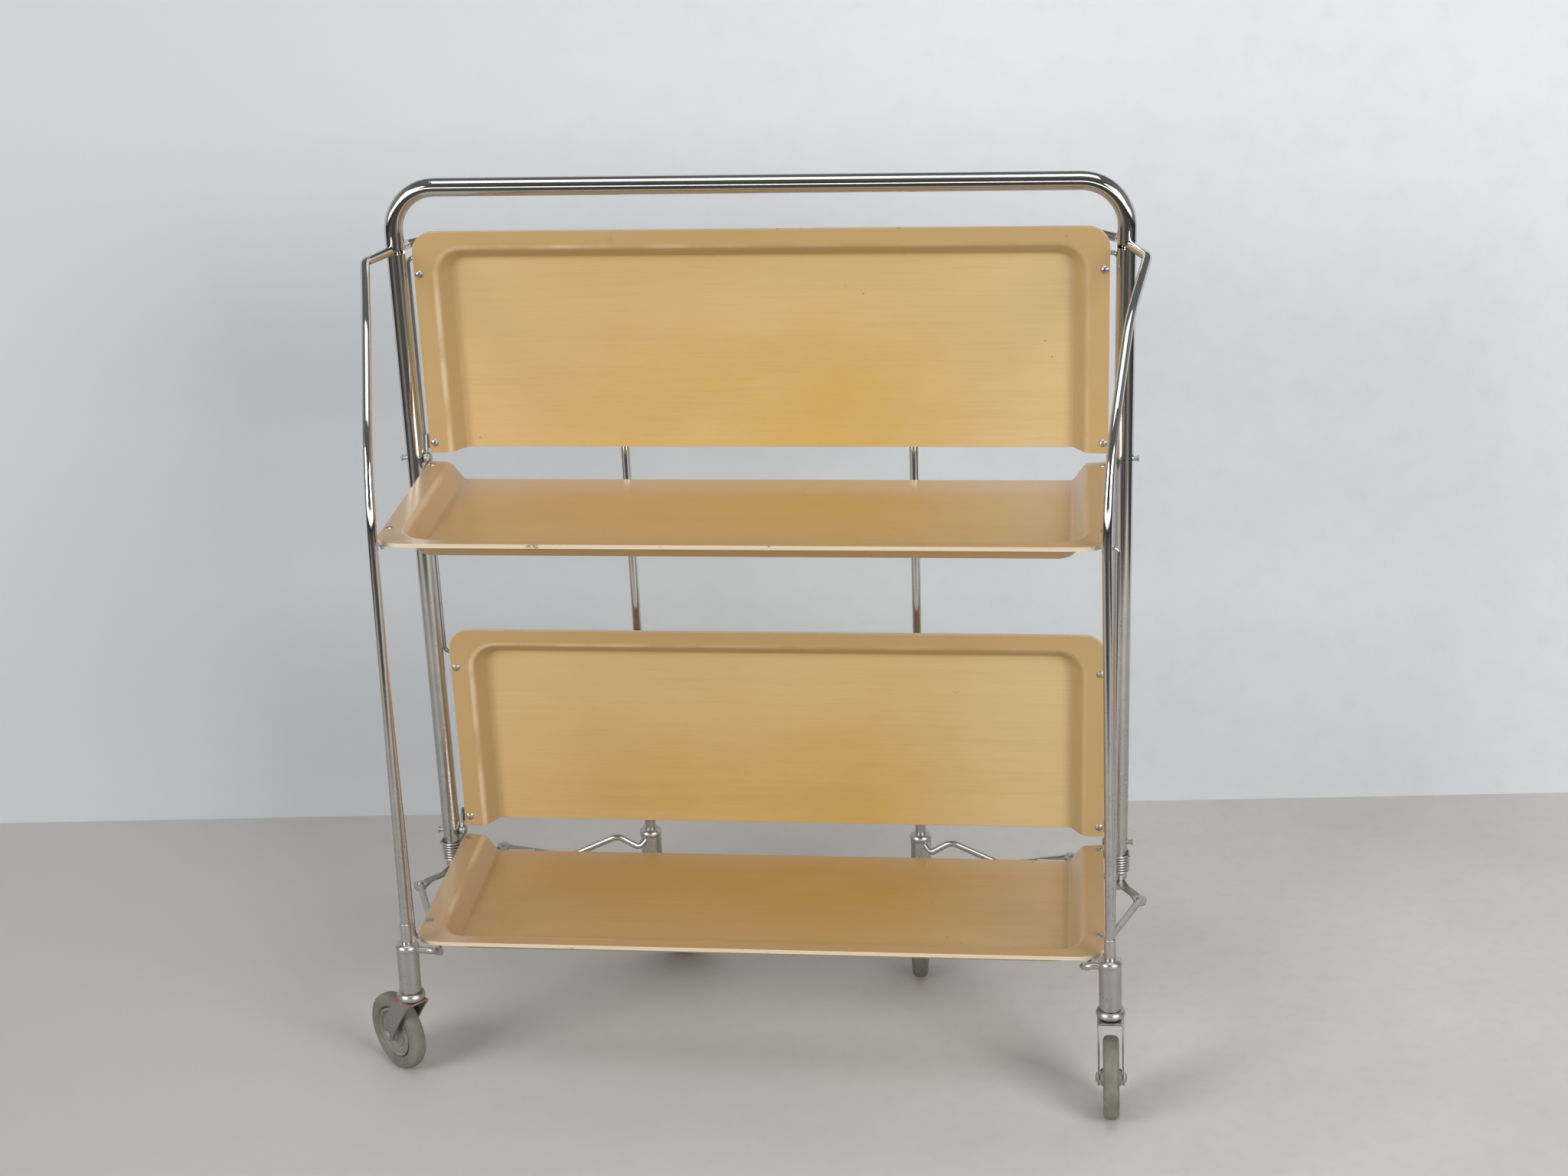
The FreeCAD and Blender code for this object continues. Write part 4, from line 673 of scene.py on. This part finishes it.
def stageFinish(name, base, dark, scale, rough, fades):
    mat, tree, bsdf = newMaterial(name)
    at = place(tree)
    x, y = parts(tree, at)[:2]
    cloud = noise(tree, at, scale, 6, 0.6)
    grit = noise(tree, at, scale * 40, 3, 0.6)
    color = blendColors(tree, span(tree, cloud, 0.35, 0.70), rgb(base), rgb(base, dark))
    color = blendColors(tree, span(tree, grit, 0.4, 0.8, 0, 0.12), color, rgb(base, dark * 0.7))
    scratch = span(tree, noise(tree, at, scale * 6, 4, 0.7, (1.0, 5.0, 1.0)), 0.66, 0.74, 0.0, 0.10)
    color = blendColors(tree, scratch, color, rgb(base, dark * 0.6))
    # painted shade: the floor and the wall get darker towards the left
    color = blendColors(tree, span(tree, x, 0.5, -0.9), color, rgb(base, stageLook["leftShadeLevel"]))
    if fades:
        # the pale ground ends a little way in front, where the metal shows the dark room
        ahead, aside = stageLook["paleAhead"], stageLook["paleAside"]
        away = calc(tree, "MAXIMUM", times(tree, y, -1.0),
                    minus(tree, calc(tree, "ABSOLUTE", x), aside - ahead))
        gone = times(tree, span(tree, away, ahead - 0.10, ahead + 0.12), minus(tree, 1.0, cameraRay(tree)))
        color = blendColors(tree, gone, color, rgb(stageLook["darkGround"]))
    tree.links.new(color, bsdf.inputs["Base Color"])
    bsdf.inputs["Roughness"].default_value = rough
    return mat


def overlay(mat, share, shader):
    # the share of the other shader goes over the material's own
    tree = mat.node_tree
    mix = tree.nodes.new("ShaderNodeMixShader")
    put(tree, mix.inputs[0], share)
    put(tree, mix.inputs[1], tree.nodes["Principled BSDF"].outputs[0])
    put(tree, mix.inputs[2], shader.outputs[0])
    put(tree, tree.nodes["Material Output"].inputs[0], mix.outputs[0])


floorMat, wallMat = [stageFinish(name, **look) for name, look in groundLooks.items()]

# far from the trolley and behind the wall the viewer sees the same pale ground, lit or not
tree = floorMat.node_tree
x, y = parts(tree, place(tree))[:2]
pastWall = minus(tree, times(tree, y, wallAcross[0]), times(tree, x, wallAcross[1]))
far = calc(tree, "MAXIMUM", span(tree, longSide(tree, x, y), stageLook["farFrom"], stageLook["farTo"]),
           span(tree, pastWall, stageLook["wallNear"], stageLook["wallNear"] + 0.005))
glow = tree.nodes.new("ShaderNodeEmission")
glow.inputs[0].default_value = rgb(stageLook["farColor"])
overlay(floorMat, times(tree, far, cameraRay(tree)), glow)

# the wall is one-sided: from behind it doesn't hide the trolley
tree = wallMat.node_tree
behind = times(tree, tree.nodes.new("ShaderNodeNewGeometry").outputs["Backfacing"], cameraRay(tree))
overlay(wallMat, behind, tree.nodes.new("ShaderNodeBsdfTransparent"))


def stageGrid(name, origin, sideA, sideB, mat):
    # point = origin + u * one side + v * the other side
    u = np.linspace(0, 1, stageLook["gridSteps"])[:, None, None]
    v = np.linspace(0, 1, stageLook["gridSteps"])[None, :, None]
    pts = np.array(origin) + u * np.array(sideA) + v * np.array(sideB)
    addObject(name, gridMesh(name, pts), mat)


half = stageLook["floorHalf"]
wallSide = 2 * stageLook["wallHalf"] * wallAcross
stageGrid("studio_floor", (-half, -half, 0), (2 * half, 0, 0), (0, 2 * half, 0), floorMat)
stageGrid("studio_wall", np.array([0, stageLook["wallNear"], 0]) - wallSide / 2, wallSide,
          (0, 0, stageLook["wallHeight"]), wallMat)

# the room: dark above and behind the viewer, a pale band low in front, softer light from both sides
roomLook = {
    "below": (0.055, 0.052, 0.048), "above": (0.16, 0.165, 0.17), "band": (2.3, 2.3, 2.26),
    "sides": (0.45, 0.46, 0.47), "sideShare": 0.5, "seenByViewer": (0.60, 0.625, 0.66),
}
world = bpy.data.worlds.new("room")
bpy.context.scene.world = world
world.use_nodes = True
tree = world.node_tree
dx, dy, dz = parts(tree, tree.nodes.new("ShaderNodeTexCoord").outputs["Generated"])
sides = span(tree, calc(tree, "ABSOLUTE", dx), 0.55, 0.92)
low = times(tree, span(tree, dz, -0.12, -0.04), span(tree, dz, 0.13, 0.03))
front = times(tree, low, span(tree, dy, -0.2, -0.5))
room = blendColors(tree, span(tree, dz, 0.2, 1.0), rgb(roomLook["below"]), rgb(roomLook["above"]))
room = blendColors(tree, times(tree, sides, roomLook["sideShare"]), room, rgb(roomLook["sides"]))
room = blendColors(tree, front, room, rgb(roomLook["band"]))
room = blendColors(tree, cameraRay(tree), room, rgb(roomLook["seenByViewer"]))
tree.links.new(room, tree.nodes["Background"].inputs[0])
tree.nodes["Background"].inputs[1].default_value = 1.0

lamps = {
    "leftSoft": {"at": (-2.0, -2.2, 1.50), "aim": (0, 0, 0.40), "size": (1.3, 1.3), "power": 54,
                 "color": (1.0, 0.995, 0.98)},
    "rightSoft": {"at": (2.1, -2.2, 1.50), "aim": (0, 0, 0.40), "size": (1.3, 1.3), "power": 59,
                  "color": (1.0, 0.995, 0.98)},
    "topSoft": {"at": (0.1, -0.6, 2.9), "aim": (0, 0.1, 0.3), "size": (2.4, 1.2), "power": 17,
                "color": (0.98, 0.99, 1.0)},
}
for lampName, lamp in lamps.items():
    data = bpy.data.lights.new(lampName, "AREA")
    data.shape = "RECTANGLE"
    data.size, data.size_y = lamp["size"]
    data.energy = lamp["power"]
    data.color = lamp["color"]
    obj = bpy.data.objects.new(lampName, data)
    obj.location = lamp["at"]
    obj.rotation_euler = (Vector(lamp["aim"]) - Vector(lamp["at"])).to_track_quat("-Z", "Y").to_euler()
    bpy.context.scene.collection.objects.link(obj)

view = {"at": (0.2744, -2.0491, 1.1214), "turn": (71.252, 1.441, 6.323), "lens": 59.115, "sensor": 36}
camera = bpy.data.cameras.new("standpoint")
camera.sensor_fit = "HORIZONTAL"
camera.sensor_width = view["sensor"]
camera.lens = view["lens"]
cameraObj = bpy.data.objects.new("standpoint", camera)
cameraObj.location = view["at"]
cameraObj.rotation_euler = [np.radians(v) for v in view["turn"]]
bpy.context.scene.collection.objects.link(cameraObj)
bpy.context.scene.camera = cameraObj
bpy.context.scene.view_settings.view_transform = "Standard"

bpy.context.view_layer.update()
print("stage and camera set")
